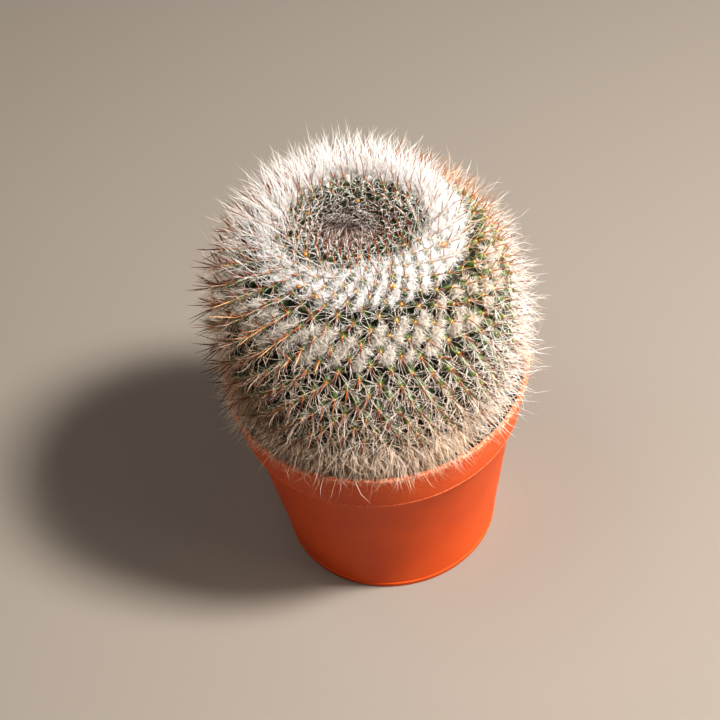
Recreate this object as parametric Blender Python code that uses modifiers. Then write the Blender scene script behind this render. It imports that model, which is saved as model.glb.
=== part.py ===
"""Pincushion cactus in a 10.5 cm nursery pot, in metres, +Z up.

The origin is the middle of the pot's foot, on the surface that the pot stands on.
Four pieces: the moulded pot, the potting mix in it, the plant, and the ring of wool
that grows between the tubercles round its crown.

The plant is a body of revolution covered with tubercles, one to each step of the golden
angle. A flat net of the tubercles is triangulated, poked and mapped onto the body, so that
every tubercle is a small pyramid whose cut tip, the areole, carries its spines.
"""

import math

import bmesh
import bpy
import numpy as np
from mathutils import Vector, kdtree
from mathutils.geometry import delaunay_2d_cdt

# Pot, a thin-walled moulding whose collar flares out to the rim
RIM_R = 0.0525
POT_H = 0.0784
COLLAR_H = 0.0174
COLLAR_FOOT_R = 0.0489
BODY_TOP_R = 0.0466
BASE_R = 0.0386
WALL = 0.0016
LIP = 0.0005
FOOT_H = 0.0024
FOOT_W = 0.0030
FLOOR_T = 0.0020
POT_SIDES = 48
DRAIN_R = 0.0032
DRAIN_PLACE_R = 0.0262
DRAIN_COUNT = 6
DRAIN_SIDES = 12

# Clearance between pieces that touch
GAP = 0.0003

# Potting mix: its top, the height and size of its crumbs, and where its crumbed rings start
MIX_TOP = 0.0690
MIX_CRUMB = 0.0009
MIX_CRUMB_SIZE = 0.0050
MIX_SIDES = 36
MIX_RINGS = 5
MIX_RING_FROM = 0.0289

# Plant: the surface through the tubercle tips
PLANT_X = -0.0010
PLANT_MID = 0.1027
SKIN_R = 0.0496
SKIN_UP = 0.0446
SKIN_DOWN = 0.0486
SQUARENESS_UP = 2.75
SQUARENESS_DOWN = 2.30
DIMPLE_DEPTH = 0.0045
DIMPLE_R = 0.0120
LOWEST_VALLEY = MIX_TOP + 2 * MIX_CRUMB

# Tubercles, small and close at the crown and larger down the side
SPACING_CROWN = 0.0030
SPACING_SIDE = 0.0092
SPACING_GROWN_AT = 0.0500
SPACING_CURVE = 0.75
TUBERCLE_SLENDER = 0.66
LAST_ROW = 0.45
AREOLE_R = 0.00065
GOLDEN_ANGLE = math.pi * (3.0 - math.sqrt(5.0))
HEX_CELL = math.sqrt(3.0) / 2.0
BASE_SIDES = 36

# Steps along the plant's half outline, and the least distance that its net tells apart
SKIN_STEPS = 8001
NET_MERGE = 1e-8

# Buried base: how far below the last valley each ring lies, and how far in towards the root
BASE_STEPS = ((0.0015, 0.0), (0.0075, 0.30), (0.0125, 0.68), (0.0155, 1.0))
ROOT_NECK_R = 0.0085
ROOT_TIP_R = 0.0045
ROOT_LENGTH = 0.0160

# Spines. A zone has the number to an areole, then the lean from the outward direction,
# in radians, and the length of its radials and of its two centrals
SEED = 7
CROWN_SPINES = (3, (0.75, 0.0046), (0.30, 0.0060))
RING_SPINES = (4, (0.70, 0.0062), (0.30, 0.0110))
SIDE_SPINES = (6, (1.00, 0.0072), (0.36, 0.0102))
BELT_SPINES = (6, (0.95, 0.0095), (0.36, 0.0125))
CROWN_BARE_TO = 0.0085
BELT_Z = 0.0940
BELT_DROOP = 0.22
BARE_BELOW = POT_H - 0.0030
SPINE_R = 0.00035
LEAN_DRAW = 0.10
LENGTH_DRAW = (0.88, 1.08)
SECTOR_ORDER = (0, -1, 2, -3, 1, -2)

# A spine that would meet another, the pot or the mix is turned by the first of these that clears it
SPINE_TURNS = (0.0, -0.12, 0.12, -0.24, 0.24, -0.36, 0.36, -0.50)
SPINE_CLEAR = 0.00012
RIM_CLEAR = 0.0009

# Wool ring: from and to, along the skin from the middle of the crown
WOOL_FROM = 0.0170
WOOL_TO = 0.0415
WOOL_DEPTH = 0.10
WOOL_THICK = 0.0009
WOOL_HOLE = 0.33
WOOL_TUFT = 0.30
WOOL_ROOT = 0.84


def clear_scene():
    """Remove every object from the open file."""
    for thing in list(bpy.data.objects):
        bpy.data.objects.remove(thing, do_unlink=True)


def make_collection(name):
    """Return a new collection linked to the scene."""
    group = bpy.data.collections.new(name)
    bpy.context.scene.collection.children.link(group)
    return group


def make_material(name, colour, roughness):
    """Return a Principled material in one colour."""
    material = bpy.data.materials.new(name)
    material.use_nodes = True
    shader = material.node_tree.nodes["Principled BSDF"]
    shader.inputs["Base Color"].default_value = (*colour, 1.0)
    shader.inputs["Roughness"].default_value = roughness
    shader.inputs["Metallic"].default_value = 0.0
    material.diffuse_color = (*colour, 1.0)
    return material


def add_object(name, mesh, group, material=None):
    """Link a mesh as a named object."""
    thing = bpy.data.objects.new(name, mesh)
    group.objects.link(thing)
    if material:
        mesh.materials.append(material)
    return thing


def turned(name, profile, sides, group, material):
    """Return a turned solid: the profile, outer side downwards, with a Screw modifier."""
    mesh = bpy.data.meshes.new(name)
    edges = [(i, i + 1) for i in range(len(profile) - 1)]
    mesh.from_pydata([(r, 0.0, z) for r, z in profile], edges, [])
    thing = add_object(name, mesh, group, material)
    screw = thing.modifiers.new("Turn", "SCREW")
    screw.axis = "Z"
    screw.steps = sides
    screw.render_steps = sides
    screw.use_merge_vertices = True
    screw.merge_threshold = 0.00001
    screw.use_smooth_shade = True
    return thing


def pot_inside(z):
    """Radius of the pot's inner wall at a height."""
    shelf = POT_H - COLLAR_H
    if z >= shelf + WALL:
        t = (z - shelf) / COLLAR_H
        return COLLAR_FOOT_R + (RIM_R - COLLAR_FOOT_R) * t - WALL
    t = max(z, 0.0) / shelf
    return BASE_R + (BODY_TOP_R - BASE_R) * t - WALL


def pot_profile():
    """Half outline of the pot, from the middle of its floor round the rim to the underside."""
    shelf = POT_H - COLLAR_H
    floor_top = FOOT_H + FLOOR_T
    inner = [
        (0.0, floor_top),
        (pot_inside(floor_top) - 2 * LIP, floor_top),
        (pot_inside(floor_top + 2 * LIP), floor_top + 2 * LIP),
        (pot_inside(shelf), shelf + WALL / 2),
        (pot_inside(shelf + 2 * WALL) - LIP / 2, shelf + 2 * WALL),
        (pot_inside(POT_H - LIP), POT_H - LIP),
    ]
    rim = [
        (RIM_R - WALL + LIP, POT_H),
        (RIM_R - LIP, POT_H),
        (RIM_R, POT_H - LIP),
    ]
    outer = [
        (COLLAR_FOOT_R, shelf + LIP),
        (COLLAR_FOOT_R - LIP, shelf),
        (BODY_TOP_R, shelf),
        (BASE_R + LIP, FOOT_H),
        (BASE_R, FOOT_H - LIP),
        (BASE_R - LIP, 0.0),
        (BASE_R - FOOT_W, 0.0),
        (BASE_R - FOOT_W - LIP, FOOT_H),
        (0.0, FOOT_H),
    ]
    return inner + rim + outer


def make_pot(group, cutters):
    """Turn the pot and drill the drain holes in its floor."""
    material = make_material("terracotta_coloured_plastic", (0.72, 0.13, 0.035), 0.45)
    pot = turned("pot", pot_profile(), POT_SIDES, group, material)
    drills = bmesh.new()
    for k in range(DRAIN_COUNT):
        angle = math.tau * k / DRAIN_COUNT
        before = set(drills.verts)
        bmesh.ops.create_cone(
            drills,
            cap_ends=True,
            segments=DRAIN_SIDES,
            radius1=DRAIN_R,
            radius2=DRAIN_R,
            depth=2 * (FOOT_H + FLOOR_T),
        )
        new = [v for v in drills.verts if v not in before]
        place = (DRAIN_PLACE_R * math.cos(angle), DRAIN_PLACE_R * math.sin(angle), FOOT_H)
        bmesh.ops.translate(drills, verts=new, vec=place)
    mesh = bpy.data.meshes.new("drain_drills")
    drills.to_mesh(mesh)
    drills.free()
    drill = add_object("drain_drills", mesh, cutters)
    drill.hide_render = True
    drill.display_type = "WIRE"
    cut = pot.modifiers.new("Drain holes", "BOOLEAN")
    cut.operation = "DIFFERENCE"
    cut.object = drill
    return pot


class Skin:
    """The surface through the tubercle tips, by arc length from the middle of the crown."""

    def __init__(self):
        t = np.linspace(0.0, math.pi, SKIN_STEPS)
        above = t < math.pi / 2
        power = 2.0 / np.where(above, SQUARENESS_UP, SQUARENESS_DOWN)
        self.r = SKIN_R * np.clip(np.sin(t), 0.0, None) ** power
        z = np.where(above, SKIN_UP, -SKIN_DOWN) * np.abs(np.cos(t)) ** power
        self.z = PLANT_MID + z - above * DIMPLE_DEPTH * np.exp(-((self.r / DIMPLE_R) ** 2))
        step = np.hypot(np.diff(self.r), np.diff(self.z))
        self.s = np.concatenate([[0.0], np.cumsum(step)])
        dr = np.gradient(self.r, self.s)
        dz = np.gradient(self.z, self.s)
        self.normal_r = -dz
        self.normal_z = dr
        radius = np.maximum(self.r, 1e-5)
        self.log_plan = np.concatenate([[0.0], np.cumsum(step / (0.5 * (radius[1:] + radius[:-1])))])
        cells = math.tau * self.r / (HEX_CELL * self.spacing(self.s) ** 2)
        self.count = np.concatenate([[0.0], np.cumsum(0.5 * (cells[1:] + cells[:-1]) * step)])
        lowest = np.argmax((self.valley(self.s)[1] < LOWEST_VALLEY) & (self.s > SPACING_GROWN_AT))
        self.end = self.s[lowest]

    def spacing(self, s):
        """Distance between neighbouring tubercles."""
        t = np.clip(s / SPACING_GROWN_AT, 0.0, 1.0)
        return SPACING_CROWN + (SPACING_SIDE - SPACING_CROWN) * t**SPACING_CURVE

    def height(self, s):
        """Height of a tubercle above the valleys round it."""
        return TUBERCLE_SLENDER * self.spacing(s)

    def normal(self, s):
        """Outward direction, as its parts away from the axis and upwards."""
        n_r = np.interp(s, self.s, self.normal_r)
        n_z = np.interp(s, self.s, self.normal_z)
        size = np.hypot(n_r, n_z)
        return n_r / size, n_z / size

    def level(self, s, depth):
        """Radius and height of the surface that lies depth below the skin."""
        n_r, n_z = self.normal(s)
        return np.interp(s, self.s, self.r) - depth * n_r, np.interp(s, self.s, self.z) - depth * n_z

    def valley(self, s):
        """Radius and height of the surface at the foot of the tubercles."""
        return self.level(s, self.height(s))

    def place(self, s, turn, depth):
        """Point in space at an arc length, an angle and a depth."""
        r, z = self.level(s, depth)
        return Vector((PLANT_X + float(r) * math.cos(turn), float(r) * math.sin(turn), float(z)))

    def outward(self, s, turn):
        """Outward unit vector in space."""
        n_r, n_z = self.normal(s)
        return Vector((float(n_r) * math.cos(turn), float(n_r) * math.sin(turn), float(n_z)))

    def nearest(self, point):
        """Arc length of the skin's point nearest to one in space."""
        r = math.hypot(point[0] - PLANT_X, point[1])
        return float(self.s[np.argmin((self.r - r) ** 2 + (self.z - point[2]) ** 2)])

    def plan(self, s):
        """Radius in the flat net, which keeps the angles of the skin."""
        return np.exp(np.interp(s, self.s, self.log_plan) - np.interp(self.end, self.s, self.log_plan))

    def unplan(self, plan):
        """Arc length of a radius in the flat net."""
        log_end = np.interp(self.end, self.s, self.log_plan)
        return float(np.interp(math.log(max(plan, 1e-9)) + log_end, self.log_plan, self.s))


def tubercles(skin):
    """Arc lengths and angles of the tubercles, crown first, one to a golden angle."""
    last = np.interp(skin.end - LAST_ROW * SPACING_SIDE, skin.s, skin.count)
    index = np.arange(int(last))
    return np.interp(index + 0.5, skin.count, skin.s), index * GOLDEN_ANGLE


def flat_net(skin):
    """Triangulate the tubercles and a closing ring in the flat net.

    Returns the bmesh and the number of tubercles, whose vertices come first.
    """
    arcs, turns = tubercles(skin)
    plan = skin.plan(arcs)
    points = [Vector((p * math.cos(a), p * math.sin(a))) for p, a in zip(plan, turns)]
    ring = [math.tau * k / BASE_SIDES for k in range(BASE_SIDES)]
    points += [Vector((math.cos(a), math.sin(a))) for a in ring]
    verts, _, faces, _, _, _ = delaunay_2d_cdt(points, [], [], 0, NET_MERGE)
    mesh = bpy.data.meshes.new("net")
    mesh.from_pydata([(v.x, v.y, 0.0) for v in verts], [], [list(f) for f in faces])
    net = bmesh.new()
    net.from_mesh(mesh)
    bpy.data.meshes.remove(mesh)
    net.verts.ensure_lookup_table()
    return net, len(arcs)


def to_skin(skin, flat, depth):
    """Map a point of the flat net into space, depth times its tubercle height below the skin."""
    s = skin.unplan(math.hypot(flat.x, flat.y))
    return skin.place(s, math.atan2(flat.y, flat.x), depth * float(skin.height(s)))


def raise_tubercles(skin):
    """Return the tubercled body as a bmesh that is open below, and its tips.

    Poking the net puts a valley point between each three tubercles, and turning its first
    edges joins those points, so that each tubercle stands in a cell of its own.
    """
    net, count = flat_net(skin)
    tips = net.verts[:count]
    seams = [e for e in net.edges if not e.is_boundary]
    bmesh.ops.poke(net, faces=net.faces[:], center_mode="MEAN")
    bmesh.ops.rotate_edges(net, edges=seams, use_ccw=False)
    tip_set = set(tips)
    for v in net.verts:
        v.co = to_skin(skin, v.co, 0.0 if v in tip_set else 1.0)
    return net, tips


def base_profile(skin):
    """Radius and height of the plant's buried base, from the last tubercles down to the root tip."""
    r_end, z_end = (float(x) for x in skin.valley(skin.end))
    ball = [(r_end - share * (r_end - ROOT_NECK_R), z_end - down) for down, share in BASE_STEPS]
    return ball + [(ROOT_TIP_R, ball[-1][1] - ROOT_LENGTH)]


def close_base(skin, body):
    """Carry the open end down to the root and cap it."""
    for r, z in base_profile(skin):
        rim = [e for e in body.edges if e.is_boundary]
        new = bmesh.ops.extrude_edge_only(body, edges=rim)["geom"]
        for v in (g for g in new if isinstance(g, bmesh.types.BMVert)):
            turn = math.atan2(v.co.y, v.co.x - PLANT_X)
            v.co = Vector((PLANT_X + r * math.cos(turn), r * math.sin(turn), z))
    rim = [e for e in body.edges if e.is_boundary]
    bmesh.ops.contextual_create(body, geom=rim)


def spine_zone(s, z):
    """Spines of an areole at an arc length and a height."""
    if s < WOOL_FROM:
        return CROWN_SPINES
    if s < WOOL_TO:
        return RING_SPINES
    return SIDE_SPINES if z > BELT_Z else BELT_SPINES


def segment_distance(start, end, starts, ends):
    """Least distance between one segment and each of many, and the shares along them."""
    u = end - start
    v = ends - starts
    w = start - starts
    a = u @ u
    b = v @ u
    c = np.einsum("ij,ij->i", v, v)
    d = w @ u
    e = np.einsum("ij,ij->i", v, w)
    det = np.maximum(a * c - b * b, 1e-18)
    share = np.clip((b * e - c * d) / det, 0.0, 1.0)
    other = np.clip((share * b + e) / c, 0.0, 1.0)
    share = np.clip((other * b - d) / a, 0.0, 1.0)
    gap = w + share[:, None] * u - other[:, None] * v
    return np.linalg.norm(gap, axis=1), share, other


def clear_of_pot(start, end):
    """True if a spine stays off the pot's rim and wall and the potting mix."""
    for t in np.linspace(0.3, 1.0, 8):
        x, y, z = start + (end - start) * t
        r = math.hypot(x, y)
        if z < MIX_TOP + MIX_CRUMB and r < RIM_R:
            return False
        if z < POT_H + RIM_CLEAR and pot_inside(z) - RIM_CLEAR < r < RIM_R + RIM_CLEAR:
            return False
    return True


class SpineSet:
    """The spines placed so far, so that each new one stays clear of them."""

    def __init__(self, size):
        self.starts = np.zeros((size, 3))
        self.ends = np.zeros((size, 3))
        self.owner = np.full(size, -1)
        self.used = 0

    def fits(self, owner, start, end):
        """True if a spine crosses no spine of another tubercle, nor the pot or the mix."""
        if not clear_of_pot(start, end):
            return False
        if not self.used:
            return True
        others = self.owner[: self.used] != owner
        if not others.any():
            return True
        gap, share, other = segment_distance(
            start, end, self.starts[: self.used][others], self.ends[: self.used][others]
        )
        return bool((gap > SPINE_R * (2.0 - share - other) + SPINE_CLEAR).all())

    def add(self, owner, start, end):
        """Keep a spine."""
        self.starts[self.used] = start
        self.ends[self.used] = end
        self.owner[self.used] = owner
        self.used += 1


def aim(outward, side, droop, lean):
    """Unit vector leaning from the outward direction towards a side, then drooping."""
    way = outward * math.cos(lean) + side * math.sin(lean) + Vector((0.0, 0.0, -droop))
    return way.normalized()


def clear_tip(kept, owner, start, ways, length):
    """Far end of a spine along the first direction that clears the rest, or None."""
    for way in ways:
        end = start + way * length
        if kept.fits(owner, np.array(start), np.array(end)):
            kept.add(owner, start, end)
            return end
    return None


def areole_sectors(faces, outward):
    """Faces of an areole with the side that each leans to, in the order they take spines.

    The one nearest to the crown and the one opposite come first, and carry the centrals.
    """
    middle = sum((f.calc_center_median() for f in faces), Vector()) / len(faces)
    up = Vector((0.0, 0.0, 1.0)) - outward * outward.z
    sectors = []
    for face in faces:
        side = face.calc_center_median() - middle
        sectors.append((face, (side - outward * side.dot(outward)).normalized()))
    sectors.sort(key=lambda sector: -sector[1].dot(up))
    order = dict.fromkeys(SECTOR_ORDER[i] % len(sectors) for i in range(len(SECTOR_ORDER)))
    return [sectors[i] for i in order]


def place_spines(skin, body, areoles, owners):
    """Draw a three-sided spine out of the faces of every areole."""
    draw = np.random.default_rng(SEED)
    arcs, turns = tubercles(skin)
    fans = bmesh.ops.poke(body, faces=areoles, center_mode="MEAN")["faces"]
    areole_faces = {}
    for face in fans:
        areole_faces.setdefault(owners.find(face.calc_center_median())[1], []).append(face)
    kept = SpineSet(len(fans))
    spines = []
    for owner in sorted(areole_faces):
        s, turn = float(arcs[owner]), float(turns[owner])
        outward = skin.outward(s, turn)
        height = skin.place(s, turn, 0.0).z
        number, radial, central = spine_zone(s, height)
        droop = BELT_DROOP * (height < BELT_Z)
        for rank, (face, side) in enumerate(areole_sectors(areole_faces[owner], outward)[:number]):
            lean, length = central if rank < 2 else radial
            lean += draw.uniform(-LEAN_DRAW, LEAN_DRAW)
            length *= draw.uniform(*LENGTH_DRAW)
            ways = [aim(outward, side, droop, lean + turn_by) for turn_by in SPINE_TURNS]
            tip = clear_tip(kept, owner, face.calc_center_median(), ways, length)
            if tip:
                spines.append((face, tip))
    for face, tip in spines:
        apex = bmesh.ops.poke(body, faces=[face])["verts"][0]
        apex.co = tip


def make_cactus(skin, group):
    """Raise the tubercles, cut their tips to areoles, and draw the spines from them."""
    body, tips = raise_tubercles(skin)
    close_base(skin, body)
    arcs, _ = tubercles(skin)
    owners = kdtree.KDTree(len(tips))
    for i, tip in enumerate(tips):
        owners.insert(tip.co, i)
    owners.balance()
    bearing = [tip for tip, s in zip(tips, arcs) if s > CROWN_BARE_TO and tip.co.z > BARE_BELOW]
    cut = bmesh.ops.bevel(
        body,
        geom=bearing,
        offset=AREOLE_R,
        offset_type="OFFSET",
        segments=1,
        profile=0.5,
        affect="VERTICES",
        material=-1,
    )
    place_spines(skin, body, cut["faces"], owners)
    bmesh.ops.recalc_face_normals(body, faces=body.faces[:])
    bmesh.ops.triangulate(body, faces=body.faces[:])
    mesh = bpy.data.meshes.new("cactus")
    body.to_mesh(mesh)
    body.free()
    material = make_material("cactus_skin", (0.10, 0.17, 0.10), 0.55)
    return add_object("cactus", mesh, group, material)


def widen_holes(skin, corners, tips):
    """Set the corners cut round each tubercle to the wool's distance from its tip."""
    for v in corners:
        tip, _, distance = tips.find(v.co)
        reach = WOOL_HOLE * float(skin.spacing(skin.nearest(tip)))
        v.co = tip + (v.co - tip) * (reach / distance)


def make_wool(skin, group):
    """Make the wool ring: a net with a hole round each tubercle and a tuft in each axil.

    The net lies just under the tubercle tips. Each of its meshes rises to a tuft and
    reaches down between three tubercles to its root.
    """
    wool, count = flat_net(skin)
    arcs, _ = tubercles(skin)
    ring = {wool.verts[i] for i in range(count) if WOOL_FROM < arcs[i] < WOOL_TO}
    outside = [f for f in wool.faces if not all(v in ring for v in f.verts)]
    bmesh.ops.delete(wool, geom=outside, context="FACES")
    tips = kdtree.KDTree(len(wool.verts))
    for i, v in enumerate(wool.verts):
        v.co = to_skin(skin, v.co, WOOL_DEPTH)
        tips.insert(v.co, i)
    tips.balance()
    cut = bmesh.ops.bevel(
        wool,
        geom=wool.verts[:],
        offset=WOOL_THICK,
        offset_type="OFFSET",
        segments=1,
        profile=0.5,
        affect="VERTICES",
        material=-1,
    )
    bmesh.ops.delete(wool, geom=cut["faces"], context="FACES")
    widen_holes(skin, wool.verts[:], tips)
    bmesh.ops.recalc_face_normals(wool, faces=wool.faces[:])
    if sum(f.normal.z for f in wool.faces) < 0.0:
        bmesh.ops.reverse_faces(wool, faces=wool.faces[:])
    upper = wool.faces[:]
    made = bmesh.ops.solidify(wool, geom=upper, thickness=WOOL_THICK)["geom"]
    lower = [f for f in made if isinstance(f, bmesh.types.BMFace) and len(f.verts) > 4]
    for v in bmesh.ops.poke(wool, faces=upper, center_mode="MEAN")["verts"]:
        s, turn = skin.nearest(v.co), math.atan2(v.co.y, v.co.x - PLANT_X)
        v.co += skin.outward(s, turn) * WOOL_TUFT * float(skin.height(s))
    for v in bmesh.ops.poke(wool, faces=lower, center_mode="MEAN")["verts"]:
        s, turn = skin.nearest(v.co), math.atan2(v.co.y, v.co.x - PLANT_X)
        v.co = skin.place(s, turn, WOOL_ROOT * float(skin.height(s)))
    bmesh.ops.triangulate(wool, faces=wool.faces[:])
    mesh = bpy.data.meshes.new("crown_wool")
    wool.to_mesh(mesh)
    wool.free()
    material = make_material("cactus_wool", (0.85, 0.83, 0.78), 0.95)
    return add_object("crown_wool", mesh, group, material)


def base_hole(skin, cutters):
    """Return the turned cutter for the plain hole that the plant's base sits in."""
    above = MIX_TOP + 4 * MIX_CRUMB
    wall = [(r + 1.5 * GAP, z) for r, z in base_profile(skin)]
    bottom = wall[-1][1] - GAP
    outline = [(0.0, above), (wall[0][0], above)] + wall[:-1] + [(wall[-1][0], bottom), (0.0, bottom)]
    cutter = turned("base_hole", outline, BASE_SIDES, cutters, None)
    cutter.location.x = PLANT_X
    cutter.hide_render = True
    cutter.display_type = "WIRE"
    return cutter


def make_mix(skin, group, cutters):
    """Turn the potting mix, roughen its top, and cut the plain hole for the plant's base."""
    material = make_material("potting_mix", (0.035, 0.025, 0.018), 0.95)
    floor_top = FOOT_H + FLOOR_T + GAP
    shelf = POT_H - COLLAR_H
    widths = np.linspace(MIX_RING_FROM, pot_inside(MIX_TOP) - GAP, MIX_RINGS)
    top = [(float(r), MIX_TOP) for r in widths]
    outer = [
        (pot_inside(shelf + 2 * WALL) - LIP / 2 - GAP, shelf + 2 * WALL),
        (pot_inside(shelf) - GAP, shelf + WALL / 2),
        (pot_inside(floor_top) - 2 * LIP - 2 * GAP, floor_top),
        (0.0, floor_top),
    ]
    mix = turned("potting_mix", [(0.0, MIX_TOP)] + top + outer, MIX_SIDES, group, material)
    crust = mix.vertex_groups.new(name="crust")
    crust.add(list(range(len(top))), 1.0, "REPLACE")
    lumps = bpy.data.textures.new("crumbs", "CLOUDS")
    lumps.noise_scale = MIX_CRUMB_SIZE
    rough = mix.modifiers.new("Crumbs", "DISPLACE")
    rough.texture = lumps
    rough.vertex_group = "crust"
    rough.direction = "Z"
    rough.texture_coords = "LOCAL"
    rough.strength = 2 * MIX_CRUMB
    rough.mid_level = 0.5
    seat = mix.modifiers.new("Plant seat", "BOOLEAN")
    seat.operation = "DIFFERENCE"
    seat.object = base_hole(skin, cutters)
    return mix


def main():
    """Build the four pieces."""
    clear_scene()
    parts = make_collection("potted_pincushion_cactus")
    cutters = make_collection("cutters")
    skin = Skin()
    make_pot(parts, cutters)
    make_mix(skin, parts, cutters)
    make_cactus(skin, parts)
    make_wool(skin, parts)


main()
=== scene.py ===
"""Fine meshes and finishes for a potted pincushion cactus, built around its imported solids.

Lengths are metres in the frame of the solids: +Z up, with the origin in the middle of the
pot's foot. On the plant, arc lengths (s) run down from the middle of the crown and angles
(turn) are radians about +Z from +X. Each sub-assembly is a class that holds its sizes, builds
its meshes with bmesh operators and dresses them. Spines, fibres and crumbs are copies of
small templates.
"""

from __future__ import annotations

import logging
import math
from dataclasses import dataclass, field
from enum import Enum
from typing import Sequence

import bmesh
import bpy
import numpy as np
from mathutils import Matrix, Vector, noise
from mathutils.geometry import delaunay_2d_cdt
from mathutils.kdtree import KDTree

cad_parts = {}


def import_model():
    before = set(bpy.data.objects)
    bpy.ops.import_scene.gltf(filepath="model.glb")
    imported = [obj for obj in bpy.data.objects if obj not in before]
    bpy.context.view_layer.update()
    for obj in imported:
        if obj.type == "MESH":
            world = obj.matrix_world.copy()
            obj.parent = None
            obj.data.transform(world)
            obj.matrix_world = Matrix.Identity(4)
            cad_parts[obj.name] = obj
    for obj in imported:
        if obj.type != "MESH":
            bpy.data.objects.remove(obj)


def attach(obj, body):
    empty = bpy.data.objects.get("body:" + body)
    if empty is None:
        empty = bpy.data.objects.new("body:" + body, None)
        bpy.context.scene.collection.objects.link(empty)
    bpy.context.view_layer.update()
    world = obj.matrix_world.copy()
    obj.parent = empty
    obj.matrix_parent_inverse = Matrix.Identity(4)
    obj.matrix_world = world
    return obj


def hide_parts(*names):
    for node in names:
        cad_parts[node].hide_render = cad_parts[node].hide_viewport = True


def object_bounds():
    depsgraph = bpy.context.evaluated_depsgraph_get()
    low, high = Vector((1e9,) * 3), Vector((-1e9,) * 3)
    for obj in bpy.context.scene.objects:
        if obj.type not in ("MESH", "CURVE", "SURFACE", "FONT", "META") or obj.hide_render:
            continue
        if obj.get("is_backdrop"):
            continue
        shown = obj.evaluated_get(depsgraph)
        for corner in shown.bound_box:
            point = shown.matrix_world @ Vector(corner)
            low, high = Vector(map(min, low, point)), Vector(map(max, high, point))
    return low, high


LOG = logging.getLogger("potted_cactus")
MM = 0.001
GOLDEN_ANGLE = math.pi * (3.0 - math.sqrt(5.0))
HEX_CELL = math.sqrt(3.0) / 2.0
SEED = 11
Array = np.ndarray
BMesh = bmesh.types.BMesh
Pair = tuple[float, float]
Socket = bpy.types.NodeSocket
Stops = tuple[tuple[float, str], ...]


def linear(hex_colour: str) -> tuple[float, float, float, float]:
    """Turn an sRGB hex colour to linear RGBA.

    Args:
        hex_colour: colour as "#RRGGBB".

    Returns:
        Linear red, green, blue and an alpha of 1.
    """
    parts = [int(hex_colour[i : i + 2], 16) / 255.0 for i in (1, 3, 5)]
    rgb = [c / 12.92 if c <= 0.04045 else ((c + 0.055) / 1.055) ** 2.4 for c in parts]
    return (rgb[0], rgb[1], rgb[2], 1.0)


def add_node(
    tree: bpy.types.NodeTree, kind: str, inputs: dict | None = None, **settings: object
) -> bpy.types.Node:
    """Add a shader node with its settings and links.

    Args:
        tree: node tree that takes the node.
        kind: type name of the node.
        inputs: value or source socket of each input, by name or number.
        settings: the node's own properties; "stops" are a ramp's places and hex colours.

    Returns:
        The new node.
    """
    node = tree.nodes.new(kind)
    for name, value in settings.items():
        if name != "stops":
            setattr(node, name, value)
            continue
        elements = node.color_ramp.elements
        while len(elements) < len(value):
            elements.new(1.0)
        for element, (place, colour) in zip(elements, value):
            element.position = place
            element.color = linear(colour)
    for name, value in (inputs or {}).items():
        if isinstance(value, Socket):
            tree.links.new(value, node.inputs[name])
        else:
            node.inputs[name].default_value = value
    return node


def smooth_step(low: float | Array, high: float | Array, x: Array) -> Array:
    """Rise smoothly from 0 at low to 1 at high, or fall where low is the larger."""
    t = np.clip((x - low) / (high - low), 0.0, 1.0)
    return t * t * (3.0 - 2.0 * t)


def away_share(angle: float, turn: Array) -> Array:
    """Rise from 0 at an angle to 1 on the opposite side."""
    return 0.5 - 0.5 * np.cos(turn - angle)


def unit(vectors: Array) -> Array:
    """Scale each vector to length 1."""
    return vectors / np.linalg.norm(vectors, axis=-1, keepdims=True)


def between(first: Array, second: Array, angle: Array) -> Array:
    """Turn from unit vectors towards others that stand across them, by an angle each."""
    return first * np.cos(angle)[:, None] + second * np.sin(angle)[:, None]


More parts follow.
